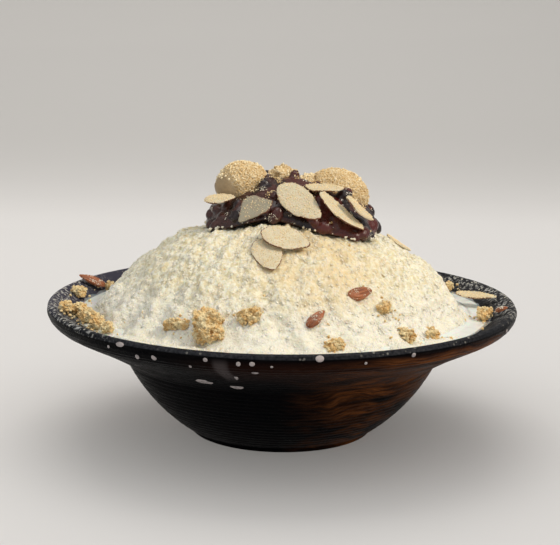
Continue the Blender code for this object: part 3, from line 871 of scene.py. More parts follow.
def make_ice_white(name, pale, **sockets):
    """Milk ice. pale lifts the colour of bright flakes."""
    material, tree = principled(name, Roughness=0.5, Specular_IOR_Level=0.35, **sockets)
    at = object_place(tree)
    height = part_of(tree, at, "Z")
    foot = remap(tree, height, rim_height + 1 * MM, rim_height + 17 * MM, 1.0, 0.0)
    # Stretched strokes of darker and lighter cream: painted shade and painted light.
    strokes = clouds(tree, vector_calc(tree, "MULTIPLY", at, (1.0, 1.0, 0.42)), 620.0, 4.0)
    body = mix(tree, remap(tree, strokes, 0.36, 0.62), cream_shade, cream_light)
    # Broad yellow-green patches of painted shade.
    shade_patches = mottled(tree, 0.006, 3.0, 2.4)
    body = mix(tree, remap(tree, shade_patches, 0.75, 1.05, 0.0, 0.6), body, shade_patch_cream)
    body = mix(tree, times(tree, foot, 0.7), body, foot_white)
    away = vector_calc(tree, "DISTANCE", at, tan_place, output="Value")
    broad = mottled(tree, 0.014, 3.0, 1.6)
    tan = times(tree, remap(tree, away, 10 * MM, 42 * MM, 1.0, 0.0), remap(tree, broad, 0.1, 0.7))
    body = mix(tree, times(tree, tan, 0.62), body, powder_tan)
    high = remap(tree, height, rim_height + 8 * MM, rim_height + 32 * MM)
    dust = use_group(tree, powder, Amount=0.24, Patch=0.007, Grain=0.0009)["Mask"]
    body = mix(tree, times(tree, times(tree, dust, high), 0.45), body, powder_tan)
    body = mix(tree, pale, body, flake_bright)
    grain = mottled(tree, 0.0009, 4.0, 2.0)
    gloss = calc(tree, "SUBTRACT", remap(tree, grain, 0.2, 0.8, 0.32, 0.62), times(tree, foot, 0.12))
    finish_shader(tree, body, gloss, grain, 0.35 * MM)
    return material


ice_white = make_ice_white("milk_ice", 0.0, Subsurface_Weight=0.6, Subsurface_Scale=2.2 * MM,
                           Subsurface_Radius=(1.0, 0.85, 0.6))
flake_white = make_ice_white("ice_flake", 0.45)
finish_piece("ice_heap", ice_mesh, ice_white, "milk_ice", "shaved_ice")

# %% Loose flakes
def copies(name, grain, places, turns, sizes):
    """One mesh with a copy of grain at each place, and how many points a copy has. turns are 3 by 3
    matrices, and sizes are scales along x, y and z."""
    corners = np.array([v.co for v in grain.verts])
    grain.verts.index_update()
    faces = np.array([[v.index for v in face.verts] for face in grain.faces])
    grain.free()
    many = np.einsum("nij,nkj->nki", turns, corners[None] * sizes[:, None]) + places[:, None]
    index = faces[None] + (np.arange(len(places)) * len(corners))[:, None, None]
    mesh = bpy.data.meshes.new(name)
    mesh.vertices.add(many.shape[0] * many.shape[1])
    mesh.vertices.foreach_set("co", many.astype(np.float32).ravel())
    mesh.loops.add(index.size)
    mesh.loops.foreach_set("vertex_index", index.astype(np.int32).ravel())
    mesh.polygons.add(index.size // faces.shape[1])
    mesh.polygons.foreach_set("loop_start", np.arange(0, index.size, faces.shape[1], dtype=np.int32))
    mesh.update(calc_edges=True)
    return mesh, len(corners)


def tumbled(dice, normals, lean, across=None):
    """Random turns whose third axis stays near a normal. lean is 0 for flat and 1 for any way up.
    The first axis keeps off the directions across, if they are given."""
    up = normals + dice.normal(size=normals.shape) * lean
    up /= np.linalg.norm(up, axis=1)[:, None]
    loose = dice.normal(size=normals.shape)
    side = np.cross(up, loose if across is None else across + 0.45 * loose)
    side /= np.linalg.norm(side, axis=1)[:, None]
    return np.stack([side, np.cross(up, side), up], axis=2)


def chip(bend):
    """A thin, slightly bent flake of few faces."""
    shape = bmesh.new()
    bmesh.ops.create_icosphere(shape, subdivisions=1, radius=1.0)
    for vert in shape.verts:
        vert.co.z += bend * vert.co.x ** 2
    return shape


flake_count = 7500
flake_shown = 0.10 * MM
dice = np.random.default_rng(41)
radius = np.sqrt(dice.uniform((26 * MM) ** 2, (84 * MM) ** 2, flake_count))
angle = dice.uniform(0, 2 * math.pi, flake_count)
spots, normals = frozen_surface(radius, angle)
long_side = dice.uniform(0.6, 1.35, flake_count) * MM
sizes = np.stack([long_side, long_side * dice.uniform(0.45, 0.75, flake_count),
                  dice.uniform(0.3, 0.5, flake_count) * MM], axis=1)
across = np.stack([-np.sin(angle), np.cos(angle), 0 * angle], axis=1)
sunk = spots - normals * (sizes[:, 2:] - flake_shown)
flakes, _ = copies("loose_flakes", chip(0.4), sunk, tumbled(dice, normals, 0.12, across), sizes)
finish_piece("loose_flakes", flakes, flake_white, "milk_ice")

# %% Melted milk round the ice
milk_turns = 480
milk_inner = 80.0 * MM
rows_above, rows_under = 40, 6


def make_milk():
    """A ring of milk with a raised edge, and a thin film that creeps up the rim here and there."""
    mesh, across, along = net(milk_turns, rows_above + rows_under)
    row = np.rint(along * (rows_above + rows_under)).astype(int)
    below = row > rows_above
    angle = np.rint(across * milk_turns) % milk_turns / milk_turns * 2 * math.pi
    ring = around_axis(1.0, angle, 0 * angle) * 60 * MM
    creep = 1.2 + 1.6 * ripple(ring, 9 * MM, 2.0) + 0.9 * ripple(ring, 2.5 * MM, 7.0)
    flat_end = rim_foot[0] + (milk_level - rim_foot[1]) / rim_slope
    outer = flat_end + np.clip(creep, -0.6, 3.2) * MM
    share = np.clip(row / rows_above, 0, 1) ** 0.8
    share = np.where(below, 1.0 - (row - rows_above) / rows_under, share)
    radius = milk_inner + (outer - milk_inner) * share
    swell = 0.12 * MM * ripple(around_axis(radius, angle, 0 * angle), 8 * MM)
    film = 0.32 * MM * (1.0 - share ** 12)
    ice_side = 0.7 * MM * smooth_step(85.5 * MM, 83.0 * MM, radius)
    level = milk_level + swell + ice_side
    height = np.maximum(level, rim_at(radius) + film - 0.10 * MM)
    height = np.where(below, rim_at(radius) - 0.35 * MM, height)
    move_points(mesh, around_axis(radius, angle, height))
    paint(mesh, "depth", np.clip((height - rim_at(radius)) / (1.2 * MM), 0, 1))
    return joined(mesh, "milk_ring", close=True)


milk, tree = principled("milk", Roughness=0.12, Subsurface_Weight=0.25, Subsurface_Scale=2.0 * MM)
cloudy = mottled(tree, 0.006, 3.0, 0.8)
white = mix(tree, cloudy, (0.76, 0.79, 0.74), (0.84, 0.87, 0.86))
body = mix(tree, remap(tree, number_from(tree, "depth"), 0.05, 0.5), (0.22, 0.235, 0.26), white)
finish_shader(tree, body, remap(tree, cloudy, 0.3, 0.7, 0.08, 0.2), cloudy, 0.2 * MM)
finish_piece("milk_ring", make_milk(), milk, "milk", "melted_milk")

# %% [markdown]
# ## Sweet red beans
#
# The red beans are half mashed: whole beans sit in a glossy paste. Modelling each bean apart would
# leave gaps that paste doesn't have. So bean shapes are pressed into a slightly shrunken copy of the
# heap, and a voxel remesh melts them into one skin. Each point remembers its bean, for the colour.

# %% Helpers for lumpy pieces
def evaluated(shape, name, kind, **settings):
    """Run one modifier on a bmesh and keep the result as a mesh."""
    holder = bpy.data.objects.new(name, mesh_from(shape, name))
    bpy.context.scene.collection.objects.link(holder)
    modifier = holder.modifiers.new("shape", kind)
    for setting, value in settings.items():
        setattr(modifier, setting, value)
    graph = bpy.context.evaluated_depsgraph_get()
    mesh = bpy.data.meshes.new_from_object(holder.evaluated_get(graph))
    bpy.data.objects.remove(holder)
    return mesh


def melted(shape, voxel, name):
    return evaluated(shape, name, "REMESH", mode="VOXEL", voxel_size=voxel)


def softened(shape, levels, name):
    return evaluated(shape, name, "SUBSURF", levels=levels, render_levels=levels)


def spread_over(dice, count, a, b, c, weight):
    """Random triangles, drawn by weight, and a random place on each. a, b and c are the corners."""
    chosen = dice.choice(len(weight), count, p=weight / weight.sum())
    u, v = dice.uniform(0, 1, (2, count))
    u, v = np.where(u + v > 1, 1 - u, u)[:, None], np.where(u + v > 1, 1 - v, v)[:, None]
    return chosen, a[chosen] + (b - a)[chosen] * u + (c - a)[chosen] * v


def surface_spots(dice, count, node):
    """Random places and normals, spread evenly over a plain solid."""
    shape = copy_of(node)
    corners = np.array([[v.co for v in face.verts[:3]] for face in shape.faces])
    normals = np.array([face.normal for face in shape.faces])
    areas = np.array([face.calc_area() for face in shape.faces])
    shape.free()
    chosen, places = spread_over(dice, count, *corners.transpose(1, 0, 2), areas)
    return places, normals[chosen]


def press_in(shape, place, turn, size, detail=2):
    """Add a rounded lump to a shape. turn is a 3 by 3 matrix."""
    matrix = Matrix.Translation(place) @ Matrix(turn.tolist()).to_4x4() @ Matrix.Diagonal((*size, 1.0))
    bmesh.ops.create_icosphere(shape, subdivisions=detail, radius=1.0, matrix=matrix)


def shrink(shape, share):
    """Scale a shape about the middle of its box."""
    points = np.array([v.co for v in shape.verts])
    middle = Vector((points.min(axis=0) + points.max(axis=0)) / 2)
    bmesh.ops.transform(shape, verts=shape.verts, matrix=Matrix.Translation(middle) @ Matrix.Scale(share, 4)
                        @ Matrix.Translation(-middle))


def keep_in_box(mesh, node):
    """Hold the points of a mesh inside the box of the plain solid it stands for."""
    move_points(mesh, np.clip(points_of(mesh), *np.array(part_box(node))))



# %% Melt the beans into a heap
bean_count = 165
bean_size = np.array([4.1, 2.9, 2.5]) * MM
bean_sink, covered_sink = 1.6 * MM, 2.15 * MM
slice_reach = 9.5 * MM
wrinkle_depth = 0.12 * MM
dice = np.random.default_rng(12)
heap = copy_of("red_beans")
shrink(heap, 0.955)
bean_spots, bean_normals = surface_spots(dice, bean_count, "red_beans")
bean_turns = tumbled(dice, bean_normals, 0.35)
bean_scale = dice.uniform(0.8, 1.12, bean_count)
slice_middles = np.array([middle_of(name) for name in nodes_named("almond")])
to_slice = np.linalg.norm(bean_spots[:, None] - slice_middles[None], axis=2).min(axis=1)
sinks = np.where(to_slice < slice_reach, covered_sink, bean_sink)
for spot, normal, turn, scale, sink in zip(bean_spots, bean_normals, bean_turns, bean_scale, sinks):
    if normal[2] > -0.2:
        press_in(heap, Vector(spot - normal * sink), turn, bean_size * scale)
beans_mesh = melted(heap, 0.5 * MM, "sweet_red_beans")
points = points_of(beans_mesh)
wrinkle = ripple(points, 1.1 * MM, 3.0) * 0.5 + ripple(points * np.array([1.0, 1.0, 0.35]), 0.9 * MM, 7.0)
push_out(beans_mesh, wrinkle * wrinkle_depth)
nearest = np.argmin(np.linalg.norm(points[:, None, :] - bean_spots[None], axis=2), axis=1)
paint(beans_mesh, "tone", dice.uniform(0, 1, bean_count)[nearest])
print("beans:", bean_count, "pressed in")

# %% Red bean material
frost_tan = (0.42, 0.31, 0.22)
bean_skin, tree = principled("red_beans", Roughness=0.3, Coat_Weight=0.25, Coat_Roughness=0.06,
                             Specular_IOR_Level=0.4)
tone = number_from(tree, "tone")
cloudy = mottled(tree, 0.0035, 4.0, 1.4)
painted_light_right = remap(tree, part_of(tree, object_place(tree), "X"), -20 * MM, 20 * MM)
body = mix(tree, cloudy, (0.010, 0.0035, 0.004), (0.085, 0.024, 0.017))
body = mix(tree, remap(tree, tone, 0.25, 0.5, 0.85, 0.0), body, (0.008, 0.0025, 0.004))
# Some beans on the lit right side are painted redder: their own tone in part, and in part painted light.
body = mix(tree, times(tree, remap(tree, tone, 0.45, 0.9), painted_light_right), body, (0.085, 0.014, 0.011))
frost = use_group(tree, powder, Amount=-0.02, Patch=0.0045, Grain=0.0005)["Mask"]
body = mix(tree, times(tree, frost, 0.7), body, frost_tan)
gloss = calc(tree, "ADD", remap(tree, cloudy, 0.3, 0.7, 0.12, 0.40), times(tree, frost, 0.45))
finish_shader(tree, body, gloss, mottled(tree, 0.0008, 3.0, 1.4), 0.12 * MM)
finish_piece("sweet_red_beans", beans_mesh, bean_skin, "red_beans", "red_beans")

# %% [markdown]
# ## Rice cakes in roasted powder
#
# Each rice cake is a soft ball that was rolled in roasted soybean powder. A sculptor would stamp a
# grainy brush on it. The same look comes from a smooth ball whose points are pushed by fine noise,
# with loose grains on top. One side of the left cake, the side away from the key lamp, stayed bare,
# so a painted number tells the material and the relief where the powder is missing; the darker dough
# colour there is painted shade.

# %% Cakes and powder clumps
lump_depth = 0.45 * MM
grain_depth = 0.42 * MM
# The bare side of the left cake faces away from the key lamp, and its colour is darkened as painted shade.
left_bare_shaded = np.array([-0.86, -0.45, -0.25])
no_bare = np.zeros(3)


def fit_box(points, node):
    """Stretch points to the box of a plain solid."""
    low, high = (np.array(corner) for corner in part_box(node))
    own_low, own_high = points.min(axis=0), points.max(axis=0)
    return low + (points - own_low) * (high - low) / (own_high - own_low)


def powdered_cake(node, name, bare_shaded_way):
    """A cake with a grainy coat. bare_shaded_way points to the side without powder, which is also painted
    darker as shade.
    """
    mesh = softened(copy_of(node), 3, name)
    move_points(mesh, fit_box(points_of(mesh), node))
    points = points_of(mesh)
    bare_and_shaded = smooth_step(0.45, 0.75, normals_of(mesh) @ bare_shaded_way + 0.12 * ripple(points, 4 * MM))
    lumps = lump_depth * ripple(points, 4.5 * MM, 2.0)
    coat = grain_depth * (pebble(points, 1.0 * MM, 5.0) + 0.7 * ripple(points, 0.7 * MM, 9.0) - 1.2)
    push_out(mesh, lumps - lump_depth + coat * (1 - bare_and_shaded) - grain_depth * bare_and_shaded)
    keep_in_box(mesh, node)
    paint(mesh, "bare_and_shaded", bare_and_shaded)
    return mesh


def ragged(node, name, lump, count, voxel, seed, core=0.82, grain_shape=(1.25, 0.9, 0.75)):
    """A clump of small lumps about a shrunken copy of a plain solid."""
    dice = np.random.default_rng(seed)
    shape = copy_of(node)
    shrink(shape, core)
    spots, normals = surface_spots(dice, count, node)
    turns = tumbled(dice, normals, 0.8)
    for spot, normal, turn in zip(spots, normals, turns):
        size = lump * dice.uniform(0.45, 1.15) * np.array(grain_shape)
        press_in(shape, Vector(spot - normal * size[2] * 0.9), turn, size, 1)
    mesh = melted(shape, voxel, name)
    points = points_of(mesh)
    rough = 0.22 * ripple(points, 1.3 * MM, seed) + 0.14 * ripple(points, 0.6 * MM, seed + 5.0)
    push_out(mesh, rough * MM)
    keep_in_box(mesh, node)
    return mesh


cake_left = powdered_cake("rice_cake_left", "powdered_cake_left", left_bare_shaded)
cake_right = powdered_cake("rice_cake_right", "powdered_cake_right", no_bare)
clump_left = ragged("powder_clump_left", "clump_left", 1.2 * MM, 120, 0.32 * MM, 51, 0.85)
clump_right = ragged("powder_clump_right", "clump_right", 1.2 * MM, 120, 0.32 * MM, 52, 0.85)
print("left cake:", len(cake_left.vertices), "points, left clump:", len(clump_left.vertices))

# %% Roasted powder material
soy, tree = principled("soybean_powder", Roughness=0.85, Specular_IOR_Level=0.25)
broad, fine = mottled(tree, 0.006, 4.0, 1.6), mottled(tree, 0.0007, 4.0, 2.4)
coat = mix(tree, broad, (0.64, 0.40, 0.14), (0.80, 0.58, 0.28))
coat = mix(tree, remap(tree, fine, 0.25, 0.85), coat, (0.88, 0.73, 0.50))
coat = mix(tree, remap(tree, fine, 0.12, 0.36, 1.0, 0.0), coat, (0.40, 0.21, 0.07))
salt = use_group(tree, specks, Size=0.0011, Share=0.3, Softness=0.1)["Mask"]
coat = mix(tree, times(tree, salt, 0.75), coat, (0.90, 0.82, 0.66))
bare_and_shaded = number_from(tree, "bare_and_shaded")
# Darker dough on the bare side away from the lamp: painted shade.
dough_in_painted_shade = mix(tree, broad, (0.30, 0.205, 0.105), (0.46, 0.34, 0.20))
relief = times(tree, fine, remap(tree, bare_and_shaded, 0.0, 1.0, 1.0, 0.15))
finish_shader(tree, mix(tree, bare_and_shaded, coat, dough_in_painted_shade), remap(tree, bare_and_shaded, 0.0, 1.0, 0.9, 0.45), relief, 0.45 * MM)
finish_piece("powdered_cake_left", cake_left, soy, "soybean_powder", "rice_cake_left")
finish_piece("powdered_cake_right", cake_right, soy, "soybean_powder", "rice_cake_right")
finish_piece("clump_left", clump_left, soy, "soybean_powder", "powder_clump_left")
finish_piece("clump_right", clump_right, soy, "soybean_powder", "powder_clump_right")

# %% [markdown]
# ## Sliced almonds
#
# A sliced almond is a thin drop-shaped chip with soft edges, a thin brown line of skin, and fine
# fibres. It starts as a sphere that is pressed flat and pulled into the drop, so that there are rings
# of points to bend. Where each slice lies is measured on its plain solid.

# %% Where a flat or long piece lies
def lie_of(node):
    """Middle, axes (length, width, up), half sizes and curl of a plain solid."""
    shape = copy_of(node)
    points = np.array([v.co for v in shape.verts])
    shape.free()
    middle = (points.min(axis=0) + points.max(axis=0)) / 2
    for _ in range(2):
        away = points - middle
        axes = np.linalg.svd(away - away.mean(axis=0), full_matrices=False)[2]
        local = away @ axes.T
        middle = middle + ((local.min(axis=0) + local.max(axis=0)) / 2) @ axes
    local = (points - middle) @ axes.T
    half = np.abs(local).max(axis=0)
    tip = [np.abs(local[local[:, 0] * side > 0.55 * half[0], 1]).mean() for side in (1, -1)]
    if tip[0] > tip[1]:
        axes[0] *= -1
    bend = np.corrcoef(local[:, 0] ** 2, local[:, 2])[0, 1]
    if bend < 0:
        axes[2] *= -1
    axes[1] = np.cross(axes[2], axes[0])
    local = (points - middle) @ axes.T
    ends = local[np.abs(local[:, 0]) > 0.85 * half[0], 2].mean()
    centre = local[np.abs(local[:, 0]) < 0.4 * half[0], 2].mean()
    return middle, axes, half, max(0.0, ends - centre)


print("first slice:", [round(side / MM, 1) for side in lie_of(nodes_named("almond")[0])[2]], "mm half sizes")


# %% One almond slice
slice_steps = 48
slice_rings = 22
slice_thickness = 1.2 * MM
slice_warp = 0.30 * MM
fibre_depth = 0.05 * MM


def almond_slice(node, name, seed, breaks=(), painted_shade=0.0):
    """A thin slice in the place of a plain one. breaks are (degrees, share) of straight broken sides,
    and painted_shade, from 0 to 1, is how far the slice is darkened as painted shade."""
    middle, axes, half, curl = lie_of(node)
    shape = bmesh.new()
    bmesh.ops.create_uvsphere(shape, u_segments=slice_steps, v_segments=slice_rings, radius=1.0)
    fixed_order(shape)
    mesh = mesh_from(shape, name)
    points = points_of(mesh)
    u, v, level = points.T
    reach = np.clip(np.hypot(u, v), 0, 1)
    turn = np.arctan2(v, u)
    edge_u, edge_v = np.cos(turn), np.sin(turn)
    edge_v = edge_v * (1 - 0.24 * edge_u - 0.12 * edge_u ** 2)
    edge = np.stack([edge_u, edge_v, 0 * u], axis=1)
    edge *= (1 + 0.05 * ripple(edge, 0.5, seed) + 0.03 * ripple(edge, 0.16, seed))[:, None]
    for degrees, share in breaks:
        way = np.array([math.cos(math.radians(degrees)), math.sin(math.radians(degrees)), 0.0])
        over = edge @ way - share - 0.04 * ripple(edge, 0.2, seed + 3.0)
        edge -= np.outer(np.maximum(over, 0.0), way)
    places = edge * reach[:, None] * half
    warp = slice_warp * ripple(places, 7 * MM, seed)
    fibres = fibre_depth * ripple(places * np.array([0.25, 1.0, 1.0]), 0.8 * MM, seed + 2.0)
    thick = slice_thickness / 2 * np.sqrt(np.clip(1 - reach ** 7, 0, 1))
    along = np.clip(np.abs(places[:, 0]) / half[0], 0, 1)
    places[:, 2] = np.sign(level) * (thick + fibres * (1 - reach)) + warp + curl * (along ** 2 - 0.5)
    rim = smooth_step(0.93, 0.99, reach)
    kept = smooth_step(-0.25, 0.1, ripple(places, 6 * MM, seed + 4.0))
    move_points(mesh, places @ axes + middle)
    paint(mesh, "skin", rim * kept)
    paint(mesh, "painted_shade", np.full(len(places), painted_shade))
    shape = bmesh.new()
    shape.from_mesh(mesh)
    bmesh.ops.recalc_face_normals(shape, faces=shape.faces)
    shape.to_mesh(mesh)
    shape.free()
    return mesh


def slice_name(node):
    return "slice_" + node[len("almond_"):]


print("a slice has", slice_steps * slice_rings, "faces")

# %% Almond material
ivory, tree = principled("almond", Roughness=0.55, Subsurface_Weight=0.12, Subsurface_Scale=1.0 * MM,
                         Specular_IOR_Level=0.35)
broad, fine = mottled(tree, 0.004, 4.0, 1.5), mottled(tree, 0.0006, 3.0, 2.0)
body = mix(tree, broad, (0.52, 0.43, 0.27), (0.74, 0.66, 0.48))
body = mix(tree, times(tree, fine, 0.4), body, (0.84, 0.78, 0.64))
frost = use_group(tree, powder, Amount=0.10, Patch=0.004, Grain=0.00045)
body = mix(tree, times(tree, frost["Mask"], 0.65), body, (0.90, 0.82, 0.66))
# Painted shade: slices that lie in shadow are darkened to olive grey.
body = mix(tree, number_from(tree, "painted_shade"), body, (0.30, 0.27, 0.20))
body = mix(tree, remap(tree, number_from(tree, "skin"), 0.25, 0.6), body, (0.16, 0.062, 0.026))
relief = calc(tree, "ADD", fine, times(tree, frost["Height"], frost["Mask"]))
finish_shader(tree, body, remap(tree, fine, 0.2, 0.8, 0.42, 0.75), relief, 0.16 * MM)

# %% All almond slices
broken_sides = {  # degrees round the slice, and how far out it is broken straight
    "almond_front_left": ((20, 0.62), (150, 0.7), (-110, 0.72)), "almond_ice_lower": ((170, 0.8),),
    "almond_right_frosted": ((60, 0.75), (-130, 0.8)), "almond_right_high": ((-80, 0.8),),
}
# How far each slice is darkened as painted shade, for slices that lie in shadow.
painted_shade_slices = {"almond_front_left": 0.95, "almond_front_large": 0.15}
for seed, node in enumerate(nodes_named("almond"), 60):
    breaks, painted_shade = broken_sides.get(node, ()), painted_shade_slices.get(node, 0.0)
    finish_piece(slice_name(node), almond_slice(node, slice_name(node), seed, breaks, painted_shade), ivory,
                 "almond", node)

# %% [markdown]
# ## Whole nuts and crumble
#
# The whole nuts keep their red-brown skin, which dries into long wrinkles, so their relief runs
# along the nut. The crumble is baked butter and flour: small lumps stuck together. It is made as the
# beans are, from lumps and a voxel remesh, only finer and matt.

# %% Nuts
fold_depth = 0.42 * MM


def wrinkled_nut(node, name, seed):
    """A nut with wrinkles along its length."""
    middle, axes, half, _ = lie_of(node)
    mesh = softened(copy_of(node), 3, name)
    move_points(mesh, fit_box(points_of(mesh), node))
    local = (points_of(mesh) - middle) @ axes.T / half
    turn = np.arctan2(local[:, 2], local[:, 1])
    long_way = np.stack([np.cos(turn) * 2.6, np.sin(turn) * 2.6, local[:, 0] * 0.9], axis=1)
    folds = ripple(long_way, 1.0, seed) + 0.6 * ripple(long_way, 0.45, seed + 3.0)
    push_out(mesh, (folds - 0.7) * fold_depth)
    keep_in_box(mesh, node)
    # The fold height also colours the skin: darker in the wrinkle valleys as painted shade, lighter on the
    # ridges.
    paint(mesh, "fold", np.clip(0.5 + 0.5 * folds, 0, 1))
    return mesh


nut_skin, tree = principled("almond_skin", Roughness=0.4, Coat_Weight=0.15, Coat_Roughness=0.2)
fine = mottled(tree, 0.0008, 4.0, 1.8)
# Dark brown in the wrinkle valleys is painted shade; the ridges are the lighter skin.
body = mix(tree, number_from(tree, "fold"), (0.095, 0.020, 0.008), (0.55, 0.175, 0.055))
body = mix(tree, times(tree, fine, 0.45), body, (0.30, 0.11, 0.045))
frost = use_group(tree, powder, Amount=0.02, Patch=0.0035, Grain=0.0005)["Mask"]
body = mix(tree, times(tree, frost, 0.8), body, (0.72, 0.60, 0.44))
finish_shader(tree, body, remap(tree, fine, 0.2, 0.8, 0.28, 0.6), fine, 0.2 * MM)
for seed, node in enumerate(nodes_named("nut"), 20):
    nut = wrinkled_nut(node, "whole_" + node, float(seed))
    finish_piece("whole_" + node, nut, nut_skin, "almond_skin", node)

# %% Crumble
crumb_lumps = 44
crumb_shape = (1.5, 0.75, 0.55)
baked, tree = principled("crumble", Roughness=0.7, Specular_IOR_Level=0.3)
broad, fine = mottled(tree, 0.003, 5.0, 2.2), mottled(tree, 0.0006, 4.0, 2.2)
body = mix(tree, remap(tree, broad, 0.2, 0.8), (0.86, 0.54, 0.20), (0.97, 0.83, 0.51))
body = mix(tree, remap(tree, fine, 0.5, 0.9), body, (0.90, 0.72, 0.44))
body = mix(tree, remap(tree, fine, 0.08, 0.28, 1.0, 0.0), body, (0.54, 0.29, 0.10))
finish_shader(tree, body, remap(tree, fine, 0.2, 0.8, 0.5, 0.85), fine, 0.4 * MM)
for seed, node in enumerate(nodes_named("crumble")):
    size = diagonal_of(node).length
    voxel = max(0.22 * MM, size / 64)
    mesh = ragged(node, "baked_" + node, 0.15 * size, crumb_lumps, voxel, 80 + seed, 0.5, crumb_shape)
    points = points_of(mesh)
    rough = 0.45 * ripple(points, 1.1 * MM, seed + 2.0) + 0.4 * pebble(points, 1.2 * MM, seed + 4.0) - 0.35
    push_out(mesh, rough * MM)
    keep_in_box(mesh, node)
    finish_piece("baked_" + node, mesh, baked, "crumble", node)

# %% [markdown]
# ## Loose powder and crumbs
#
# Nothing here was placed neatly: roasted powder clings to the cakes and the almonds, and crumbs have
# rolled over the ice, the milk and the rim. Thousands of single objects would be slow, so each kind is
# one mesh that repeats a tiny rounded grain, and a painted number gives every grain its own tone.

# %% Helpers for grains
def spots_on(mesh, dice, count, least_up=-1.0, depth=0.0):
    """Random places on a finished mesh, where it faces upwards enough, and the normals there. The
    places lie depth under the surface."""
    mesh.calc_loop_triangles()
    flat = np.empty(len(mesh.loop_triangles) * 3, np.int32)
    mesh.loop_triangles.foreach_get("vertices", flat)
    a, b, c = points_of(mesh)[flat.reshape(-1, 3)].transpose(1, 0, 2)
    cross = np.cross(b - a, c - a)
    size = np.linalg.norm(cross, axis=1)
    weight = size * (cross[:, 2] / np.maximum(size, 1e-12) > least_up)
    chosen, places = spread_over(dice, count, a, b, c, weight)
    normals = cross[chosen] / size[chosen][:, None]
    return places - depth * normals, normals


def those(spots, mask):
    """The places and normals that a mask keeps."""
    return tuple(part[mask] for part in spots)


def strew(name, dice, found, low, high, material, slot, palest=0.0):
    """A piece of many small grains, sunk a little into what they lie on. found lists pairs of places
    and normals, and palest lifts the tones of the grains."""
    places, normals = (np.concatenate(part) for part in zip(*found))
    grain = bmesh.new()
    bmesh.ops.create_icosphere(grain, subdivisions=1, radius=1.0)
    size = dice.uniform(low, high, len(places))[:, None] * dice.uniform(0.6, 1.25, (len(places), 3))
    mesh, per_grain = copies(name, grain, places + normals * 0.3 * size, tumbled(dice, normals, 1.0), size)
    points = points_of(mesh)
    points[:, 2] = np.minimum(points[:, 2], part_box("rice_cake_left")[1].z)
    move_points(mesh, points)
    paint(mesh, "tone", np.repeat(dice.uniform(palest, 1, len(places)), per_grain))
    finish_piece(name, mesh, material, slot)


def visual(name):
    return bpy.data.objects[name].data


loose_powder, tree = principled("loose_powder", Roughness=0.85, Specular_IOR_Level=0.25)
tone, fine = number_from(tree, "tone"), mottled(tree, 0.0005, 2.0, 1.6)
body = mix(tree, tone, (0.70, 0.47, 0.18), (0.93, 0.82, 0.58))
body = mix(tree, remap(tree, tone, 0.0, 0.06, 1.0, 0.0), body, (0.42, 0.22, 0.07))
body = mix(tree, times(tree, fine, 0.3), body, (0.78, 0.56, 0.28))
finish_shader(tree, body, remap(tree, fine, 0.2, 0.8, 0.7, 0.95))
print("loose powder:", len(tree.nodes), "nodes")

# %% Powder on the cakes
left_grains, right_grains, bean_grains = 3200, 3000, 9000
crumb_counts = {"powdered_cake_left": 190, "powdered_cake_right": 150, "clump_left": 60, "clump_right": 60}
dice = np.random.default_rng(77)
left = spots_on(visual("powdered_cake_left"), dice, left_grains, -0.35)
right = spots_on(visual("powdered_cake_right"), dice, right_grains, -0.35)
on_beans = spots_on(visual("sweet_red_beans"), dice, bean_grains, 0.25)
near_cakes = on_beans[0][:, 2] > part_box("red_beans")[1].z - 8 * MM
patchy = ripple(on_beans[0], 5 * MM, 4.0) + 0.5 * near_cakes > 0.62
strew("cake_powder", dice, [those(left, left[1] @ left_bare_shaded < 0.42), right, those(on_beans, patchy)],
      0.14 * MM, 0.38 * MM, loose_powder, "soybean_powder")
found = [spots_on(visual(name), dice, count, 0.35, 0.15 * MM) for name, count in crumb_counts.items()]
strew("cake_crumbs", dice, found, 0.35 * MM, 0.75 * MM, loose_powder, "soybean_powder", 0.75)

# %% Powder on the almonds and on the ice
unshaded_slice_grains, shaded_slice_grains, ice_grains = 420, 110, 15000
nearest_grain, farthest_grain = 27 * MM, 74 * MM
grains_per_mm = 34
powder_bits = (  # x, y and spread in mm of tan bits that fell on the ice
    (-18.5, -26.1, 1.8), (-35.9, -19.6, 1.3), (-24.6, -58.1, 0.9), (63.4, -19.3, 1.6), (41.2, -34.0, 0.9),
    (-56.9, -50.7, 0.9), (-13.0, -30.0, 2.2), (4.0, -33.0, 2.4), (12.0, -35.0, 2.4), (-27.0, -22.0, 1.6),
)


def under_ice(radius, angle, depth):
    """Places a little under the ragged ice, and the plain normals there."""
    places, normals = frozen_surface(radius, angle)
    return places - depth * normals, normals


found = []
for node in nodes_named("almond"):
    count = shaded_slice_grains if painted_shade_slices.get(node, 0) > 0.5 else unshaded_slice_grains
    found.append(spots_on(visual(slice_name(node)), dice, count, 0.15))
radius = np.sqrt(dice.uniform(nearest_grain ** 2, farthest_grain ** 2, ice_grains))
angle = dice.uniform(0, 2 * math.pi, ice_grains)
flat_places = around_axis(radius, angle, 0 * angle)
likely = 0.75 - (radius - nearest_grain) / (60 * MM) + 0.7 * ripple(flat_places, 9 * MM, 5.0)
likely += 0.12 * np.clip(flat_places[:, 0] / (30 * MM), -1, 1)
kept = dice.uniform(0, 1, ice_grains) < np.clip(likely, 0, 1) * 0.35
found.append(under_ice(radius[kept], angle[kept], 0.13 * MM))
for x, y, spread in powder_bits:
    fallen = np.array([x, y]) * MM + dice.normal(0, spread * MM, (int(grains_per_mm * spread), 2))
    found.append(under_ice(np.hypot(*fallen.T), np.arctan2(fallen[:, 1], fallen[:, 0]), 0.1 * MM))
strew("dusted_powder", dice, found, 0.12 * MM, 0.30 * MM, loose_powder, "soybean_powder", 0.55)

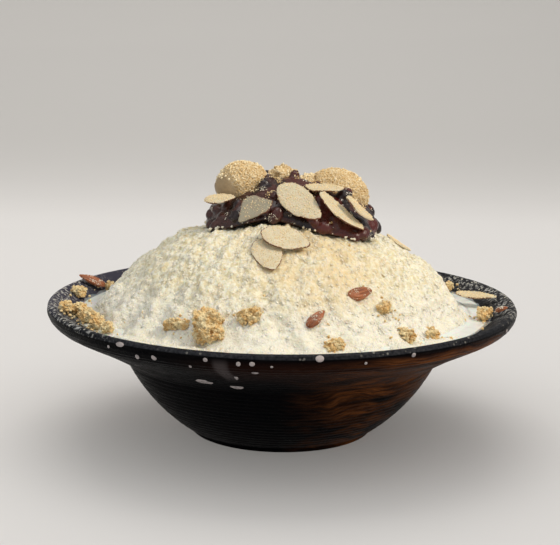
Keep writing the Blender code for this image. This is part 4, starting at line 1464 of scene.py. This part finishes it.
# %% Bits on the crumble, frost on beans and nuts, and snow at their foot
frost_tries, nut_frost = 14000, 260
lump_spot, lump_reach = np.array([-5.2 * MM, -26.3 * MM, rim_height + 38.4 * MM]), 3.6 * MM
found = []
for node in nodes_named("crumble"):
    count = int(14 + 9 * diagonal_of(node).length / MM)
    found.append(spots_on(visual("baked_" + node), dice, count, -0.2, 0.1 * MM))
strew("crumble_bits", dice, found, 0.32 * MM, 0.85 * MM, baked, "crumble")
on_beans = spots_on(visual("sweet_red_beans"), dice, frost_tries, -0.2)
bean_top = on_beans[0]
near_lump = np.linalg.norm(bean_top - lump_spot, axis=1) < lump_reach
over_ice = bean_top[:, 2] - field_at(bean_top[:, 0], bean_top[:, 1])
front_foot = (over_ice < 3.2 * MM) & (np.abs(bean_top[:, 0] + 6 * MM) < 12 * MM)
front_foot &= ripple(bean_top, 2 * MM, 8.0) > -0.2
patchy = ripple(bean_top, 4.5 * MM, 14.0) + 0.4 * ripple(bean_top, 1.5 * MM, 15.0) > 0.5
frosted = near_lump | front_foot | patchy
found = [those(on_beans, frosted)]
for node in nodes_named("nut"):
    on_nut = spots_on(visual("whole_" + node), dice, nut_frost, -0.5)
    found.append(those(on_nut, ripple(on_nut[0], 2.2 * MM, 6.0) > 0.1))
strew("frost", dice, found, 0.10 * MM, 0.26 * MM, flake_white, "milk_ice")
snowy = (over_ice < 2.4 * MM) & (over_ice > 0.2 * MM) & (ripple(bean_top, 3.5 * MM, 9.0) > -0.15)
strew("foot_snow", dice, [those(on_beans, snowy)], 0.28 * MM, 0.75 * MM, flake_white, "milk_ice")
print("frosted spots:", frosted.sum(), "and snow at the foot:", snowy.sum())

# %% Crumbs round the crumble
crumbs_each, crumbs_astray = 11, 24
crumb_spread, stray_spread = 4.2 * MM, 32 * MM
crumb_lift = 0.28 * MM  # keeps a crumb out of the clear top layer of the milk
milk_shore = 92 * MM


def ground_at(x, y):
    """Height of whatever is uppermost under a crumb: ice, milk or rim."""
    away = np.hypot(x, y)
    ice = np.where(away < ice_edge, field_at(x, y) + 0.2 * MM, 0.0)
    return np.maximum(np.maximum(rim_at(away), milk_level * (away < milk_shore)), ice)


spots = []
for node in nodes_named("crumble"):
    spots.append(np.array(middle_of(node).xy) + dice.normal(0, crumb_spread, (crumbs_each, 2)))
spots.append(dice.normal(0, stray_spread, (crumbs_astray, 2)))
spots = np.concatenate(spots)
away = np.hypot(*spots.T)
spots = spots[(away < 100 * MM) & (away > 40 * MM)]
places = np.column_stack([spots, ground_at(*spots.T) + crumb_lift])
ups = np.tile([0.0, 0.0, 1.0], (len(places), 1))
strew("loose_crumbs", dice, [(places, ups)], 0.3 * MM, 0.85 * MM, baked, "crumble")

# %% [markdown]
# ## Drips of milk
#
# A little milk went over the lip in serving and stands in drops on the dark outside. A drop is a
# rounded lens half sunk in the glaze. The outside is searched with a ray from the front, so that each
# drop lies on the real surface, however the bowl turns away there.

# %% Drips
bowl_faces = [face.vertices for face in bowl_mesh.polygons]
bowl_tree = BVHTree.FromPolygons([vert.co for vert in bowl_mesh.vertices], bowl_faces)
drip_thickness = 0.3 * MM
drip_share = 0.42
lip_margin = 0.02 * MM
drips = (  # degrees round the bowl, height below the top of the rim in mm, width and length in mm
    (-123.0, 6.0, 2.4, 2.6), (-118.4, 5.2, 2.8, 3.2), (-106.1, 3.4, 2.2, 2.2), (-99.0, 4.2, 2.2, 2.2),
    (-96.1, 3.9, 2.6, 2.2), (-95.7, 8.4, 3.2, 4.0), (-112.9, 19.5, 9.0, 7.0), (-103.4, 21.1, 6.6, 6.0),
    (-82.0, 1.7, 4.0, 3.2), (-60.7, 3.0, 2.2, 2.4), (-127.3, 2.0, 5.0, 2.4), (-131.0, 4.0, 1.6, 1.6),
    (-110.0, 7.2, 1.4, 1.6), (-92.0, 5.0, 1.4, 1.4), (-101.0, 13.0, 1.8, 5.0), (-72.0, 4.4, 1.3, 1.3),
    (-25.0, 4.0, 2.0, 2.4), (15.0, 5.0, 2.4, 3.0), (100.0, 4.0, 2.2, 2.6), (165.0, 5.5, 2.4, 2.8),
)


def make_drips():
    """All drops as one mesh of lenses."""
    shape = bmesh.new()
    for degrees, below, width, length in drips:
        way = Vector((math.cos(math.radians(degrees)), math.sin(math.radians(degrees)), 0.0))
        start = way * 0.2 + Vector((0, 0, rim_height - below * MM))
        spot, normal, _, _ = bowl_tree.ray_cast(start, -way)
        side = normal.cross(Vector((0, 0, 1))).normalized()
        turn = Matrix((side, normal.cross(side), normal)).transposed()
        size = (width * drip_share * MM, length * drip_share * MM, drip_thickness)
        press_in(shape, spot, np.array(turn), size, 3)
    mesh = mesh_from(shape, "milk_drips")
    points = points_of(mesh)
    points += (0.12 * MM * ripple(points, 2.0 * MM, 3.0))[:, None] * normals_of(mesh)
    reach = np.hypot(points[:, 0], points[:, 1])
    points[:, :2] *= np.minimum(1.0, (rim_radius - lip_margin) / reach)[:, None]
    move_points(mesh, points)
    return mesh


thin_milk, tree = principled("thin_milk", Roughness=0.3, Specular_IOR_Level=0.3)
cloudy = mottled(tree, 0.0016, 3.0, 1.6)
body = mix(tree, cloudy, (0.22, 0.19, 0.19), (0.48, 0.43, 0.42))
finish_shader(tree, body, remap(tree, cloudy, 0.3, 0.7, 0.22, 0.4))
finish_piece("milk_drips", make_drips(), thin_milk, "milk")
